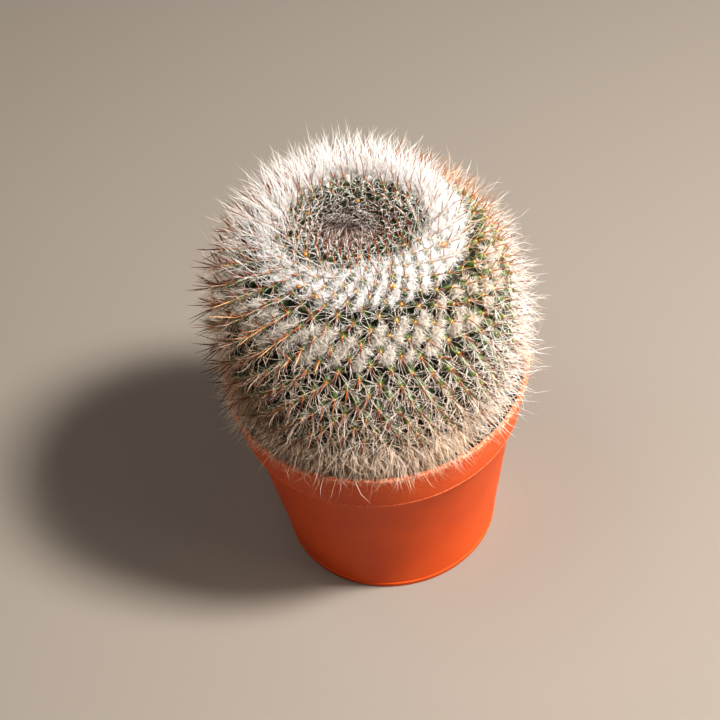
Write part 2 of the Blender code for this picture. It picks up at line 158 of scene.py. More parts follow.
@dataclass(frozen=True)
class Surface:
    """The nodes of one material, with a short call for what the finishes share."""

    tree: bpy.types.NodeTree
    shader: bpy.types.Node

    def place(self) -> Socket:
        """Read the place on the object."""
        return add_node(self.tree, "ShaderNodeTexCoord").outputs["Object"]

    def attribute(self, name: str) -> Socket:
        """Read one of the mesh's own values."""
        return add_node(self.tree, "ShaderNodeAttribute", attribute_name=name).outputs["Fac"]

    def noise(
        self, size_mm: float, detail: float, rough: float = 0.5, warp: float = 0.0
    ) -> Socket:
        """Make noise over the object.

        Args:
            size_mm: size of its patches.
            detail: how many finer layers it has.
            rough: strength of each finer layer.
            warp: how far the patches are bent.

        Returns:
            Its value, from 0 to 1.
        """
        names = ("Vector", "Scale", "Detail", "Roughness", "Distortion")
        values = (self.place(), 1.0 / (size_mm * MM), detail, rough, warp)
        node = add_node(self.tree, "ShaderNodeTexNoise", dict(zip(names, values)))
        return node.outputs["Fac"]

    def maths(self, operation: str, *values: Socket | float) -> Socket:
        """Work out one operation."""
        inputs = dict(enumerate(values))
        return add_node(self.tree, "ShaderNodeMath", inputs, operation=operation).outputs[0]

    def spread(self, value: Socket, start: Pair, stop: Pair) -> Socket:
        """Carry a value from one range to another, clamped at its ends."""
        names = ("Value", "From Min", "From Max", "To Min", "To Max")
        inputs = dict(zip(names, (value, *start, *stop)))
        return add_node(self.tree, "ShaderNodeMapRange", inputs).outputs["Result"]

    def blend(self, factor: Socket, first: Socket | tuple, second: Socket | tuple) -> Socket:
        """Blend two colours."""
        inputs = {"Factor": factor, 6: first, 7: second}
        return add_node(self.tree, "ShaderNodeMix", inputs, data_type="RGBA").outputs[2]

    def ramp(self, factor: Socket, stops: Stops) -> Socket:
        """Look a colour up on a ramp."""
        node = add_node(self.tree, "ShaderNodeValToRGB", {"Fac": factor}, stops=stops)
        return node.outputs["Color"]

    def feed(self, name: str, value: Socket) -> None:
        """Link a value to one of the shader's inputs."""
        self.tree.links.new(value, self.shader.inputs[name])

    def relief(self, height: Socket, strength: float, depth_mm: float) -> None:
        """Raise the surface by a pattern."""
        inputs = {"Height": height, "Strength": strength, "Distance": depth_mm * MM}
        self.feed("Normal", add_node(self.tree, "ShaderNodeBump", inputs).outputs["Normal"])


@dataclass(frozen=True)
class Finish:
    """A surface with one colour; its kinds add their pattern.

    The roughness and IOR are those of the real material.
    """

    name: str
    colour: str
    roughness: float
    ior: float = 1.5
    specular: float = 0.5

    def material(self) -> bpy.types.Material:
        """Return the finish as a Principled material."""
        material = bpy.data.materials.new(self.name)
        material.use_nodes = True
        shader = material.node_tree.nodes["Principled BSDF"]
        shader.inputs["Base Color"].default_value = linear(self.colour)
        shader.inputs["Roughness"].default_value = self.roughness
        shader.inputs["IOR"].default_value = self.ior
        shader.inputs["Specular IOR Level"].default_value = self.specular
        self.pattern(Surface(material.node_tree, shader))
        return material

    def pattern(self, surface: Surface) -> None:
        """Add what varies over the surface; the plain finish adds nothing."""


@dataclass(frozen=True)
class MouldedPolypropylene(Finish):
    """Injection-moulded pot plastic: even colour, satin, with a faint orange-peel skin.

    Flow marks a few centimetres long cloud the colour. Pale bands lie along the rim, over
    the collar and along its lower edge: potting dust, and on the rim and collar a painted
    highlight as well. Each band is its middle height, reach and most share.
    """

    cloud: str = "#D25018"
    # Pale colour of the dust, which on the rim and collar is also a painted highlight.
    dust_and_highlight: str = "#F6C6A8"
    cloud_mm: float = 22.0
    # The skin and the grains of dust and painted highlight are drawn at two to three
    # times their real size.
    peel_mm: float = 0.9
    speck_mm: float = 1.1
    speck_range: Pair = (0.40, 0.66)
    rough_range: Pair = (-0.05, 0.07)
    dust_and_highlight_bands: tuple[tuple[float, float, float], ...] = (
        (0.0614, 0.0008, 0.45),
        (0.0784, 0.0030, 0.75),
        (0.0725, 0.0120, 0.16),
    )

    def pattern(self, surface: Surface) -> None:
        """Cloud the colour, lay dust and painted highlight on the ledges and roughen the skin."""
        clouds = surface.noise(self.cloud_mm, 3.0, 0.6)
        colour = surface.ramp(clouds, ((0.3, self.cloud), (0.7, self.colour)))
        parts = add_node(surface.tree, "ShaderNodeSeparateXYZ", {"Vector": surface.place()})
        grain = surface.noise(self.speck_mm, 4.0, 0.7)
        specks = surface.spread(grain, self.speck_range, (0.0, 1.0))
        # Painted highlight: the pale bands on the rim and collar also stand in for their lit
        # edges.
        for middle, reach, most in self.dust_and_highlight_bands:
            above = surface.maths("SUBTRACT", parts.outputs["Z"], middle)
            away = surface.maths("ABSOLUTE", above)
            near = surface.spread(away, (reach, 0.0), (0.0, most))
            dust_and_highlight_share = surface.maths("MULTIPLY", near, specks)
            colour = surface.blend(dust_and_highlight_share, colour, linear(self.dust_and_highlight))
        surface.feed("Base Color", colour)
        low, high = (self.roughness + change for change in self.rough_range)
        surface.feed("Roughness", surface.spread(clouds, (0.0, 1.0), (low, high)))
        surface.relief(surface.noise(self.peel_mm, 2.0), 0.10, 0.05)


@dataclass(frozen=True)
class LivingSkin(Finish):
    """Waxy living skin: dark between the tubercles, fresher green towards their tips.

    The dark between the tubercles is painted shade.
    """

    # Painted shade: the near-black colour of the valleys between the tubercles.
    valley: str = "#11150A"
    flank: str = "#2B3A14"
    tip: str = "#667A3A"
    mottle: float = 0.35
    mottle_mm: float = 1.6
    # The stipple of the skin's cells is drawn several times coarser than real.
    stipple_mm: float = 0.35

    def pattern(self, surface: Surface) -> None:
        """Colour by the height up a tubercle, painted shade low down, mottled and stippled."""
        mottle = surface.noise(self.mottle_mm, 3.0)
        height = surface.maths("MULTIPLY_ADD", mottle, self.mottle, surface.attribute("peak"))
        # The ramp runs down to the painted shade of the valleys.
        stops = ((0.25, self.valley), (0.62, self.flank), (0.85, self.colour), (1.0, self.tip))
        surface.feed("Base Color", surface.ramp(height, stops))
        surface.relief(surface.noise(self.stipple_mm, 2.0), 0.25, 0.08)


@dataclass(frozen=True)
class DrySpine(Finish):
    """Spine of dry cellulose: its colours run from the areole to the point.

    Young spines take the first ramp, and old ones near the pot the second.
    """

    young: Stops = ()
    old: Stops = ()
    pale: str = "#FFF8EC"
    pale_share: float = 0.3

    def pattern(self, surface: Surface) -> None:
        """Colour along the spine, by its age and its own tone."""
        along = surface.attribute("along")
        young, old = surface.ramp(along, self.young), surface.ramp(along, self.old)
        aged = surface.blend(surface.attribute("age"), young, old)
        share = surface.maths("MULTIPLY", surface.attribute("tone"), self.pale_share)
        surface.feed("Base Color", surface.blend(share, aged, linear(self.pale)))


@dataclass(frozen=True)
class AxilWool(Finish):
    """Plant wool: matt white curled hair, creamier where it is older, with a soft sheen."""

    cream: str = "#E2D2B8"
    # The hairs between the modelled ones are drawn about ten times coarser than real.
    hair_mm: float = 0.30
    sheen: float = 0.3
    sheen_roughness: float = 0.6

    def pattern(self, surface: Surface) -> None:
        """Cream with age, and a fine hairy relief."""
        age = surface.attribute("age")
        colour = surface.blend(age, linear(self.colour), linear(self.cream))
        surface.feed("Base Color", colour)
        surface.shader.inputs["Sheen Weight"].default_value = self.sheen
        surface.shader.inputs["Sheen Roughness"].default_value = self.sheen_roughness
        surface.relief(surface.noise(self.hair_mm, 3.0, warp=1.5), 0.6, 0.2)


@dataclass(frozen=True)
class Granular(Finish):
    """A crumbly or withered surface: several colours in grains of one size."""

    grain_mm: float = 1.2
    stops: Stops = ((0.3, "#17100B"), (0.55, "#3A291C"), (0.75, "#6E5A45"))

    def pattern(self, surface: Surface) -> None:
        """Colour the grains and raise them."""
        grain = surface.noise(self.grain_mm, 4.0, 0.7)
        surface.feed("Base Color", surface.ramp(grain, self.stops))
        surface.relief(grain, 0.6, 0.3)


class Finishes(Enum):
    """The object's finishes, each with what it gives the eye."""

    # Cheap moulded plastic: one warm terracotta orange with a broad, soft shine.
    POT = MouldedPolypropylene("pot_moulded_polypropylene", "#DE5C20", 0.48, 1.46, 0.3)
    # Damp peat and bark: nearly black, matt, with paler crumbs.
    MIX = Granular("potting_mix_damp_peat", "#2A1D14", 0.92)
    # Waxy skin: deep green that all but vanishes between the spines.
    SKIN = LivingSkin("cactus_living_skin", "#435620", 0.42)
    # Short felt: a tan or golden dot where each rosette of spines starts.
    AREOLE = Granular(
        "areole_felt", "#D8A24C", 0.9, grain_mm=0.5,
        stops=((0.3, "#B9772A"), (0.5, "#E2AE58"), (0.7, "#F2D9A0")),
    )
    # Dry cellulose: a white haze on the young spines, amber and beige on the old ones.
    RADIAL = DrySpine(
        "radial_spine_dry_cellulose", "#F4EFE8", 0.5,
        young=((0.0, "#E2D2B4"), (0.2, "#F6F2EE"), (1.0, "#F8F5F3")),
        old=((0.0, "#8E5A30"), (0.30, "#D2A068"), (1.0, "#F8D4A6")), pale="#FFFFFF",
    )
    # New growth in the crown: dark brown points over pale roots, a grey-mauve nest.
    BRISTLE = DrySpine(
        "crown_bristle_dry_cellulose", "#D8C8BC", 0.5,
        young=((0.0, "#FFFDFA"), (0.6, "#F6ECE6"), (1.0, "#C8A490")),
        old=((0.0, "#805E4C"), (0.5, "#462C20"), (1.0, "#1A0E09")), pale="#22100C", pale_share=1.0,
    )
    # Horny central spine: orange at its root and nearly black at its point.
    CENTRAL = DrySpine(
        "central_spine_horn", "#8C2F1A", 0.4,
        young=((0.0, "#EE9A2C"), (0.18, "#C8581A"), (0.40, "#7A2412"), (1.0, "#2C0C08")),
        old=((0.0, "#C8A08A"), (0.25, "#86483A"), (0.55, "#4C201A"), (1.0, "#220C0A")),
        pale="#E8A450", pale_share=0.22,
    )
    # The few long spines of the left shoulder: light orange, with a red-brown point.
    LONG = DrySpine(
        "long_spine_horn", "#D98A3E", 0.4,
        young=((0.0, "#E08A2C"), (0.25, "#F0C684"), (0.7, "#E6A25C"), (1.0, "#9A3A1C")),
        old=((0.0, "#E08A2C"), (0.5, "#F0CB94"), (1.0, "#E2A468")),
    )
    # Plant wool: the brightest white of the object, soft and without a shine.
    WOOL = AxilWool("axil_wool", "#F6F3F0", 0.95)
    # Dried petals: small shrivelled spots of straw and orange in the wool.
    FLOWER = Granular(
        "withered_flower", "#D08A3C", 0.8, grain_mm=0.6,
        stops=((0.35, "#8E4E1C"), (0.5, "#D08A34"), (0.65, "#EEC888")),
    )
    # Rotted petals: small dark red-brown lumps.
    SPENT_FLOWER = Granular(
        "rotted_flower", "#5A2C18", 0.85, grain_mm=0.9,
        stops=((0.3, "#2A130B"), (0.55, "#5E2A16"), (0.75, "#8E4A28")),
    )
    # Matt paper under the object, warm grey in the lamps' light.
    FLOOR = Finish("studio_paper", "#8A8178", 0.85)


def link_new(name: str, data: bpy.types.ID) -> bpy.types.Object:
    """Make an object of the data and put it in the scene."""
    thing = bpy.data.objects.new(name, data)
    bpy.context.scene.collection.objects.link(thing)
    return thing


def add_piece(
    name: str, mesh: bpy.types.Mesh, finish: Finishes, replaces: Sequence[str] = (),
    smooth: bool = True,
) -> bpy.types.Object:
    """Link a mesh as a dressed piece that rides on the root body.

    Args:
        name: the piece's name.
        mesh: its mesh, in the frame of the solids.
        finish: what it is made of.
        replaces: names of the solids that it stands for.
        smooth: whether its faces are shaded smooth.

    Returns:
        The new object.
    """
    mesh.name = name
    mesh.materials.clear()
    mesh.materials.append(finish.value.material())
    if smooth:
        mesh.shade_smooth()
    piece = link_new(name, mesh)
    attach(piece, "root")
    if replaces:
        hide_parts(*replaces)
    mesh.calc_loop_triangles()
    LOG.info("%s: %d triangles", name, len(mesh.loop_triangles))
    return piece


def to_mesh(form: BMesh, name: str) -> bpy.types.Mesh:
    """Free a bmesh into a new mesh.

    Args:
        form: the bmesh.
        name: the mesh's name.

    Returns:
        The new mesh.
    """
    mesh = bpy.data.meshes.new(name)
    form.to_mesh(mesh)
    form.free()
    return mesh


def turned(profile: Sequence[Pair], steps: int) -> BMesh:
    """Spin a half outline round the Z axis.

    Args:
        profile: radius and height of each corner, both ends on the axis.
        steps: faces round the turn.

    Returns:
        The closed turned form, with its faces pointing out.
    """
    form = bmesh.new()
    corners = [form.verts.new((float(r), 0.0, z)) for r, z in profile]
    edges = [form.edges.new(pair) for pair in zip(corners, corners[1:])]
    bmesh.ops.spin(
        form, geom=corners + edges, cent=(0.0, 0.0, 0.0), axis=(0.0, 0.0, 1.0), angle=math.tau,
        steps=steps, use_merge=True,
    )
    bmesh.ops.remove_doubles(form, verts=form.verts[:], dist=0.002 * MM)
    bmesh.ops.recalc_face_normals(form, faces=form.faces[:])
    return form


@dataclass
class PlantForm:
    """The turned form through the tubercle tips: two squared half ellipses and a dimple.

    The tubercles stand one to a golden angle on it, and its flat net keeps their angles.
    """

    axis_x: float = -0.0010
    middle_z: float = 0.1027
    radius: float = 0.0496
    rise: float = 0.0446
    drop: float = 0.0486
    square_up: float = 2.75
    square_down: float = 2.30
    dimple_depth: float = 0.0052
    dimple_radius: float = 0.0120
    dimple_shift: Pair = (-0.0034, -0.0010)
    shift_radius: float = 0.0130
    lowest_valley: float = 0.0708
    spacing_arcs: tuple[float, ...] = (0.0, 0.005, 0.010, 0.020, 0.035, 0.050)
    spacings: tuple[float, ...] = (0.0013, 0.0017, 0.0024, 0.0038, 0.0053, 0.0065)
    slender: float = 0.85
    last_row: float = 0.5
    steps: int = 8001
    r: Array = field(init=False)
    z: Array = field(init=False)
    s: Array = field(init=False)
    count: Array = field(init=False)
    log_plan: Array = field(init=False)
    end: float = field(init=False)
    log_end: float = field(init=False)
    arcs: Array = field(init=False)
    turns: Array = field(init=False)

    def __post_init__(self) -> None:
        """Tabulate the half outline and place the tubercles."""
        t = np.linspace(0.0, math.pi, self.steps)
        above = t < math.pi / 2
        power = 2.0 / np.where(above, self.square_up, self.square_down)
        self.r = self.radius * np.clip(np.sin(t), 0.0, None) ** power
        z = np.where(above, self.rise, -self.drop) * np.abs(np.cos(t)) ** power
        bowl = above * self.dimple_depth * np.exp(-((self.r / self.dimple_radius) ** 2))
        self.z = self.middle_z + z - bowl
        step = np.hypot(np.diff(self.r), np.diff(self.z))
        self.s = np.concatenate([[0.0], np.cumsum(step)])
        radius = np.maximum(self.r, 0.01 * MM)
        rise = step / (0.5 * (radius[1:] + radius[:-1]))
        self.log_plan = np.concatenate([[0.0], np.cumsum(rise)])
        cells = math.tau * self.r / (HEX_CELL * self.spacing(self.s) ** 2)
        self.count = np.concatenate([[0.0], np.cumsum(0.5 * (cells[1:] + cells[:-1]) * step)])
        valley_z = self.level(self.s, self.height(self.s))[1]
        low = (valley_z < self.lowest_valley) & (self.s > self.spacing_arcs[-1])
        self.end = float(self.s[np.argmax(low)])
        self.log_end = float(np.interp(self.end, self.s, self.log_plan))
        last = np.interp(self.end - self.last_row * self.spacings[-1], self.s, self.count)
        index = np.arange(int(last))
        self.arcs = np.interp(index + 0.5, self.count, self.s)
        self.turns = index * GOLDEN_ANGLE

    def spacing(self, s: Array) -> Array:
        """Distance between neighbouring tubercles."""
        return np.interp(s, self.spacing_arcs, self.spacings)

    def height(self, s: Array) -> Array:
        """Height of a tubercle above the valleys round it."""
        return self.slender * self.spacing(s)

    def normal(self, s: Array) -> tuple[Array, Array]:
        """Find the outward direction.

        Args:
            s: arc lengths.

        Returns:
            Its part away from the axis and its part upwards.
        """
        n_r = np.interp(s, self.s, -np.gradient(self.z, self.s))
        n_z = np.interp(s, self.s, np.gradient(self.r, self.s))
        size = np.hypot(n_r, n_z)
        return n_r / size, n_z / size

    def level(self, s: Array, depth: float | Array) -> tuple[Array, Array]:
        """Radius and height of the surface that lies depth below the form."""
        n_r, n_z = self.normal(s)
        r, z = np.interp(s, self.s, self.r), np.interp(s, self.s, self.z)
        return r - depth * n_r, z - depth * n_z

    def place(self, s: Array, turn: Array, depth: float | Array = 0.0) -> Array:
        """Find points in space, with the crown's dimple a little off the axis.

        Args:
            s: arc lengths.
            turn: angles.
            depth: how far below the form they lie.

        Returns:
            The points.
        """
        r, z = self.level(s, depth)
        near = np.exp(-((r / self.shift_radius) ** 2))
        x = self.axis_x + r * np.cos(turn) + near * self.dimple_shift[0]
        return np.stack([x, r * np.sin(turn) + near * self.dimple_shift[1], z], axis=-1)

    def axes(self, s: Array, turn: Array) -> tuple[Array, Array, Array]:
        """Find the directions on the form.

        Args:
            s: arc lengths.
            turn: angles.

        Returns:
            Outward, crownward and sideways unit vectors.
        """
        n_r, n_z = self.normal(s)
        out = np.stack([n_r * np.cos(turn), n_r * np.sin(turn), n_z], axis=-1)
        crown = np.stack([-n_z * np.cos(turn), -n_z * np.sin(turn), n_r], axis=-1)
        return out, crown, np.cross(out, crown)

    def waves(self, s: Array, turn: Array, size: float) -> Array:
        """Smooth noise over the form, in patches of a size."""
        return np.array([noise.noise(Vector(p) / size) for p in self.place(s, turn)])

    def unplan(self, plan: Array) -> Array:
        """Arc lengths of radii in the flat net."""
        return np.interp(np.log(np.maximum(plan, 1e-9)) + self.log_end, self.log_plan, self.s)

    def row_phase(self, s: Array, turn: Array, family: int) -> Array:
        """Place across a family of spiral rows, whole on each row and half between two."""
        index = np.interp(s, self.s, self.count) - 0.5
        slip = (family * GOLDEN_ANGLE + math.pi) % math.tau - math.pi
        return (turn - index * slip / family) * family / math.tau


@dataclass
class Net:
    """The tubercles' net: flat and triangulated first, then laid on the plant's form."""

    form: PlantForm
    rim_sides: int = 90
    merge: float = 1e-9

    def flat(self, cuts: int) -> BMesh:
        """Make the flat net.

        Poking puts a valley point between each three tubercles, and turning the first edges
        joins those points, so that each tubercle stands in a cell of its own.

        Args:
            cuts: cuts to an edge of the fine net.

        Returns:
            The net, with its "peak" layer: 1 at the tips and 0 in the valleys.
        """
        form = self.form
        plan = np.exp(np.interp(form.arcs, form.s, form.log_plan) - form.log_end)
        points = [Vector((p * math.cos(a), p * math.sin(a))) for p, a in zip(plan, form.turns)]
        rim = [math.tau * k / self.rim_sides for k in range(self.rim_sides)]
        points += [Vector((math.cos(a), math.sin(a))) for a in rim]
        verts, _, faces, _, _, _ = delaunay_2d_cdt(points, [], [], 0, self.merge)
        mesh = bpy.data.meshes.new("net")
        mesh.from_pydata([(v.x, v.y, 0.0) for v in verts], [], [list(f) for f in faces])
        net = bmesh.new()
        net.from_mesh(mesh)
        bpy.data.meshes.remove(mesh)
        peak = net.verts.layers.float.new("peak")
        net.verts.ensure_lookup_table()
        for v in net.verts[: len(form.arcs)]:
            v[peak] = 1.0
        seams = [e for e in net.edges if not e.is_boundary]
        for v in bmesh.ops.poke(net, faces=net.faces[:], center_mode="MEAN")["verts"]:
            v[peak] = 0.0
        bmesh.ops.rotate_edges(net, edges=seams, use_ccw=False)
        bmesh.ops.subdivide_edges(net, edges=net.edges[:], cuts=cuts, use_grid_fill=True)
        return net

    def polar(self, net: BMesh) -> tuple[Array, Array, Array]:
        """Read the flat net's points.

        Args:
            net: the flat net.

        Returns:
            Arc length, angle and peak of every point.
        """
        flat = np.array([(v.co.x, v.co.y) for v in net.verts])
        layer = net.verts.layers.float["peak"]
        peak = np.array([v[layer] for v in net.verts])
        return self.form.unplan(np.hypot(*flat.T)), np.arctan2(flat[:, 1], flat[:, 0]), peak

    def lay(self, net: BMesh, depth: Array) -> None:
        """Move the net's points onto the form, each at its own depth below it."""
        s, turn, _ = self.polar(net)
        for v, place in zip(net.verts, self.form.place(s, turn, depth)):
            v.co = place


@dataclass
class PlantBody:
    """The green body with its tubercles, closed below by its buried base and root.

    A base step is how far it lies below the last tubercles, and its share of the way from
    their radius to the neck's.
    """

    net: Net
    cuts: int = 3
    roundness: float = 1.45
    ripple: float = 0.35 * MM
    ripple_size: float = 14 * MM
    base_steps: tuple[Pair, ...] = ((0.0015, 0.0), (0.0075, 0.30), (0.0125, 0.68), (0.0155, 1.0))
    neck_radius: float = 0.0085
    tip_radius: float = 0.0045
    root_length: float = 0.0160
    # Painted shade: the crown's tubercles are darkened, from this share at the middle to full.
    crown_shade: float = 0.62
    shaded: Pair = (0.008, 0.020)

    def base_profile(self) -> list[Pair]:
        """Radius and height of the buried base, from the last tubercles to the root tip."""
        form = self.net.form
        r, z = (float(x) for x in form.level(form.end, form.height(form.end)))
        ball = [(r - share * (r - self.neck_radius), z - d) for d, share in self.base_steps]
        return ball + [(self.tip_radius, ball[-1][1] - self.root_length)]

    def close(self, body: BMesh) -> None:
        """Carry the open end down to the root and cap it."""
        axis_x = self.net.form.axis_x
        for r, z in self.base_profile():
            rim = [e for e in body.edges if e.is_boundary]
            new = bmesh.ops.extrude_edge_only(body, edges=rim)["geom"]
            for v in (g for g in new if isinstance(g, bmesh.types.BMVert)):
                turn = math.atan2(v.co.y, v.co.x - axis_x)
                v.co = Vector((axis_x + r * math.cos(turn), r * math.sin(turn), z))
        bmesh.ops.contextual_create(body, geom=[e for e in body.edges if e.is_boundary])

    def build(self) -> None:
        """Raise the tubercles, darken those of the crown as painted shade and close the base."""
        body = self.net.flat(self.cuts)
        s, turn, peak = self.net.polar(body)
        form = self.net.form
        depth = form.height(s) * (1.0 - peak) ** self.roundness
        self.net.lay(body, depth + self.ripple * form.waves(s, turn, self.ripple_size))
        layer = body.verts.layers.float["peak"]
        # Painted shade in the crown's dimple: less of the tips' green there.
        light = self.crown_shade + (1.0 - self.crown_shade) * smooth_step(*self.shaded, s)
        for v, share in zip(body.verts, light):
            v[layer] *= share
        self.close(body)
        bmesh.ops.recalc_face_normals(body, faces=body.faces[:])
        mesh = to_mesh(body, "cactus_body")
        add_piece("cactus_body", mesh, Finishes.SKIN, ["cactus"])


def strand(sides: int, joints: int, taper: float) -> BMesh:
    """Make a straight strand of length 1 and radius 1 along +Z, drawn to a point.

    Args:
        sides: faces round it.
        joints: rings between its root and its point.
        taper: radius near the point, as a share of the root's.

    Returns:
        The strand.
    """
    form = bmesh.new()
    bmesh.ops.create_cone(
        form, cap_ends=True, segments=sides, radius1=1.0, radius2=taper, depth=1.0
    )
    bmesh.ops.translate(form, verts=form.verts[:], vec=(0.0, 0.0, 0.5))
    long = [e for e in form.edges if abs(e.verts[0].co.z - e.verts[1].co.z) > 0.5]
    bmesh.ops.subdivide_edges(form, edges=long, cuts=joints)
    top = [v for v in form.verts if v.co.z > 0.999]
    bmesh.ops.pointmerge(form, verts=top, merge_co=(0.0, 0.0, 1.0))
    return form


def copies(template: BMesh, frames: Array, places: Array) -> tuple[bpy.types.Mesh, Array]:
    """Make one mesh of many copies of a template, and free the template.

    Args:
        template: the form to copy.
        frames: for each copy, a 3 by 3 matrix whose columns are its axes.
        places: for each copy, where its origin goes.

    Returns:
        The mesh, and the template's own points.
    """
    shape = np.array([v.co[:] for v in template.verts])
    sides = [len(f.verts) for f in template.faces]
    corners = np.array([v.index for f in template.faces for v in f.verts])
    template.free()
    number = len(places)
    points = np.einsum("nij,vj->nvi", frames, shape) + places[:, None, :]
    mesh = bpy.data.meshes.new("copies")
    mesh.vertices.add(number * len(shape))
    mesh.vertices.foreach_set("co", points.astype(np.float32).ravel())
    loops = (corners[None, :] + len(shape) * np.arange(number)[:, None]).ravel()
    mesh.loops.add(len(loops))
    mesh.loops.foreach_set("vertex_index", loops.astype(np.int32))
    mesh.polygons.add(number * len(sides))
    starts = np.concatenate([[0], np.cumsum(np.tile(sides, number))[:-1]])
    mesh.polygons.foreach_set("loop_start", starts.astype(np.int32))
    mesh.update(calc_edges=True)
    return mesh, shape


@dataclass
class Strands:
    """Spines or fibres that share a template: where each starts, its way and its size."""

    roots: Array
    ways: Array
    lengths: Array
    radii: Array
    bends: Array
    kinks: Array
    ages: Array
    tones: Array

    def __len__(self) -> int:
        """Number of strands."""
        return len(self.roots)

    def take(self, chosen: Array) -> Strands:
        """Return some of the strands."""
        return Strands(*(getattr(self, name)[chosen] for name in self.__dataclass_fields__))

    def at(self, t: float) -> Array:
        """Points a share of the way along the strands."""
        straight = self.roots + self.ways * (self.lengths * t)[:, None]
        return straight + self.bends * t * t + self.kinks * (4.0 * t * (1.0 - t))

    def fit(self, low: Vector, high: Vector, margin: float = 0.1 * MM) -> None:
        """Shorten the strands that would reach out of a box, at their joints or points.

        Args:
            low: the box's lowest corner.
            high: its highest corner.
            margin: how far inside it they stay.
        """
        upper = np.array(high) - margin - self.roots
        lower = np.array(low) + margin - self.roots
        for t in (1.0 / 3.0, 2.0 / 3.0, 1.0):
            reach = self.at(t) - self.roots
            room = np.where(reach > 0.0, upper, lower)
            share = np.clip(np.min(room / np.where(reach == 0.0, 1e-9, reach), axis=1), 0.05, 1.0)
            self.lengths = self.lengths * share
            self.bends = self.bends * share[:, None]
            self.kinks = self.kinks * share[:, None]

    def build(
        self, name: str, finish: Finishes, sides: int, joints: int = 2, taper: float = 0.45,
        slot: str | None = None,
    ) -> None:
        """Copy the strand template along every strand.

        Args:
            name: the piece's name.
            finish: what it is made of.
            sides: faces round a strand.
            joints: rings between its root and its point.
            taper: radius near the point, as a share of the root's.
            slot: name of a material slot; not used.
        """
        aside = np.where(np.abs(self.ways[:, 2:3]) < 0.9, [[0.0, 0.0, 1.0]], [[1.0, 0.0, 0.0]])
        first = unit(np.cross(self.ways, aside)) * self.radii[:, None]
        second = np.cross(self.ways, first)
        frames = np.stack([first, second, self.ways * self.lengths[:, None]], axis=2)
        mesh, shape = copies(strand(sides, joints, taper), frames, self.roots)
        along = np.tile(shape[:, 2], len(self))
        points = np.zeros(3 * len(along), np.float32)
        mesh.vertices.foreach_get("co", points)
        bends = np.repeat(self.bends, len(shape), axis=0) * (along * along)[:, None]
        kinks = np.repeat(self.kinks, len(shape), axis=0) * (4.0 * along * (1.0 - along))[:, None]
        points = points.reshape(-1, 3) + bends + kinks
        mesh.vertices.foreach_set("co", points.astype(np.float32).ravel())
        ages, tones = (np.repeat(values, len(shape)) for values in (self.ages, self.tones))
        for title, values in (("along", along), ("age", ages), ("tone", tones)):
            layer = mesh.attributes.new(title, "FLOAT", "POINT")
            layer.data.foreach_set("value", values.astype(np.float32))
        mesh.update()
        add_piece(name, mesh, finish)


@dataclass(frozen=True)
class SpineRow:
    """The spines of an areole at one arc length; those between two rows are blended.

    Lengths and radii are in millimetres and angles in degrees. Tilt turns the whole areole
    towards the crown, or away from it where it is negative.
    """

    arc: float
    radials: float
    radial_length: float
    radial_lean: float
    radial_radius: float
    tilt: float
    age: float
    up_length: float
    down_length: float
    up_lean: float
    down_lean: float
    central_radius: float


SPINE_ROWS = (
    SpineRow(0, 4, 2.6, 20, 0.110, 34, 1.0, 2.8, 2.4, 8, 10, 0.110),
    SpineRow(3, 5, 3.2, 24, 0.115, 34, 0.85, 3.2, 2.8, 8, 10, 0.115),
    SpineRow(6, 6, 3.8, 28, 0.115, 30, 0.34, 3.6, 3.2, 10, 12, 0.105),
    SpineRow(10, 7, 3.8, 40, 0.100, 24, 0.0, 4.4, 3.8, 12, 14, 0.120),
    SpineRow(16, 11, 3.4, 66, 0.085, 12, 0.0, 6.2, 5.6, 16, 18, 0.180),
    SpineRow(22, 13, 4.8, 56, 0.078, 2, 0.0, 7.8, 6.8, 18, 22, 0.175),
    SpineRow(30, 15, 6.8, 48, 0.080, -9, 0.0, 8.4, 7.6, 20, 24, 0.175),
    SpineRow(38, 16, 6.4, 56, 0.078, -6, 0.20, 7.6, 8.4, 24, 20, 0.220),
    SpineRow(46, 21, 7.4, 58, 0.073, 0, 0.38, 6.2, 8.2, 28, 15, 0.250),
    SpineRow(58, 27, 8.2, 60, 0.075, 2, 0.42, 5.6, 8.4, 30, 5, 0.250),
    SpineRow(72, 29, 8.8, 60, 0.077, 2, 0.48, 5.4, 8.6, 32, -6, 0.240),
    SpineRow(84, 30, 9.4, 60, 0.089, 0, 0.60, 5.4, 8.6, 32, -12, 0.220),
    SpineRow(100, 28, 10.0, 60, 0.104, -5, 0.72, 5.4, 8.8, 32, 8, 0.190),
    SpineRow(118, 27, 10.8, 56, 0.112, -10, 0.78, 5.4, 8.8, 34, 20, 0.160),
)


@dataclass(frozen=True)
class Patch:
    """A part of the plant with soft edges, by the way that it faces and its arc lengths."""

    way: Pair
    facing: Pair
    windows: tuple[Pair, ...] = ()

    def share(self, s: Array, turn: Array) -> Array:
        """Tell how far places lie in the patch.

        Args:
            s: arc lengths.
            turn: angles.

        Returns:
            1 inside the patch and 0 outside it.
        """
        share = smooth_step(*self.facing, self.way[0] * np.cos(turn) + self.way[1] * np.sin(turn))
        for window in self.windows:
            share = share * smooth_step(*window, s)
        return share


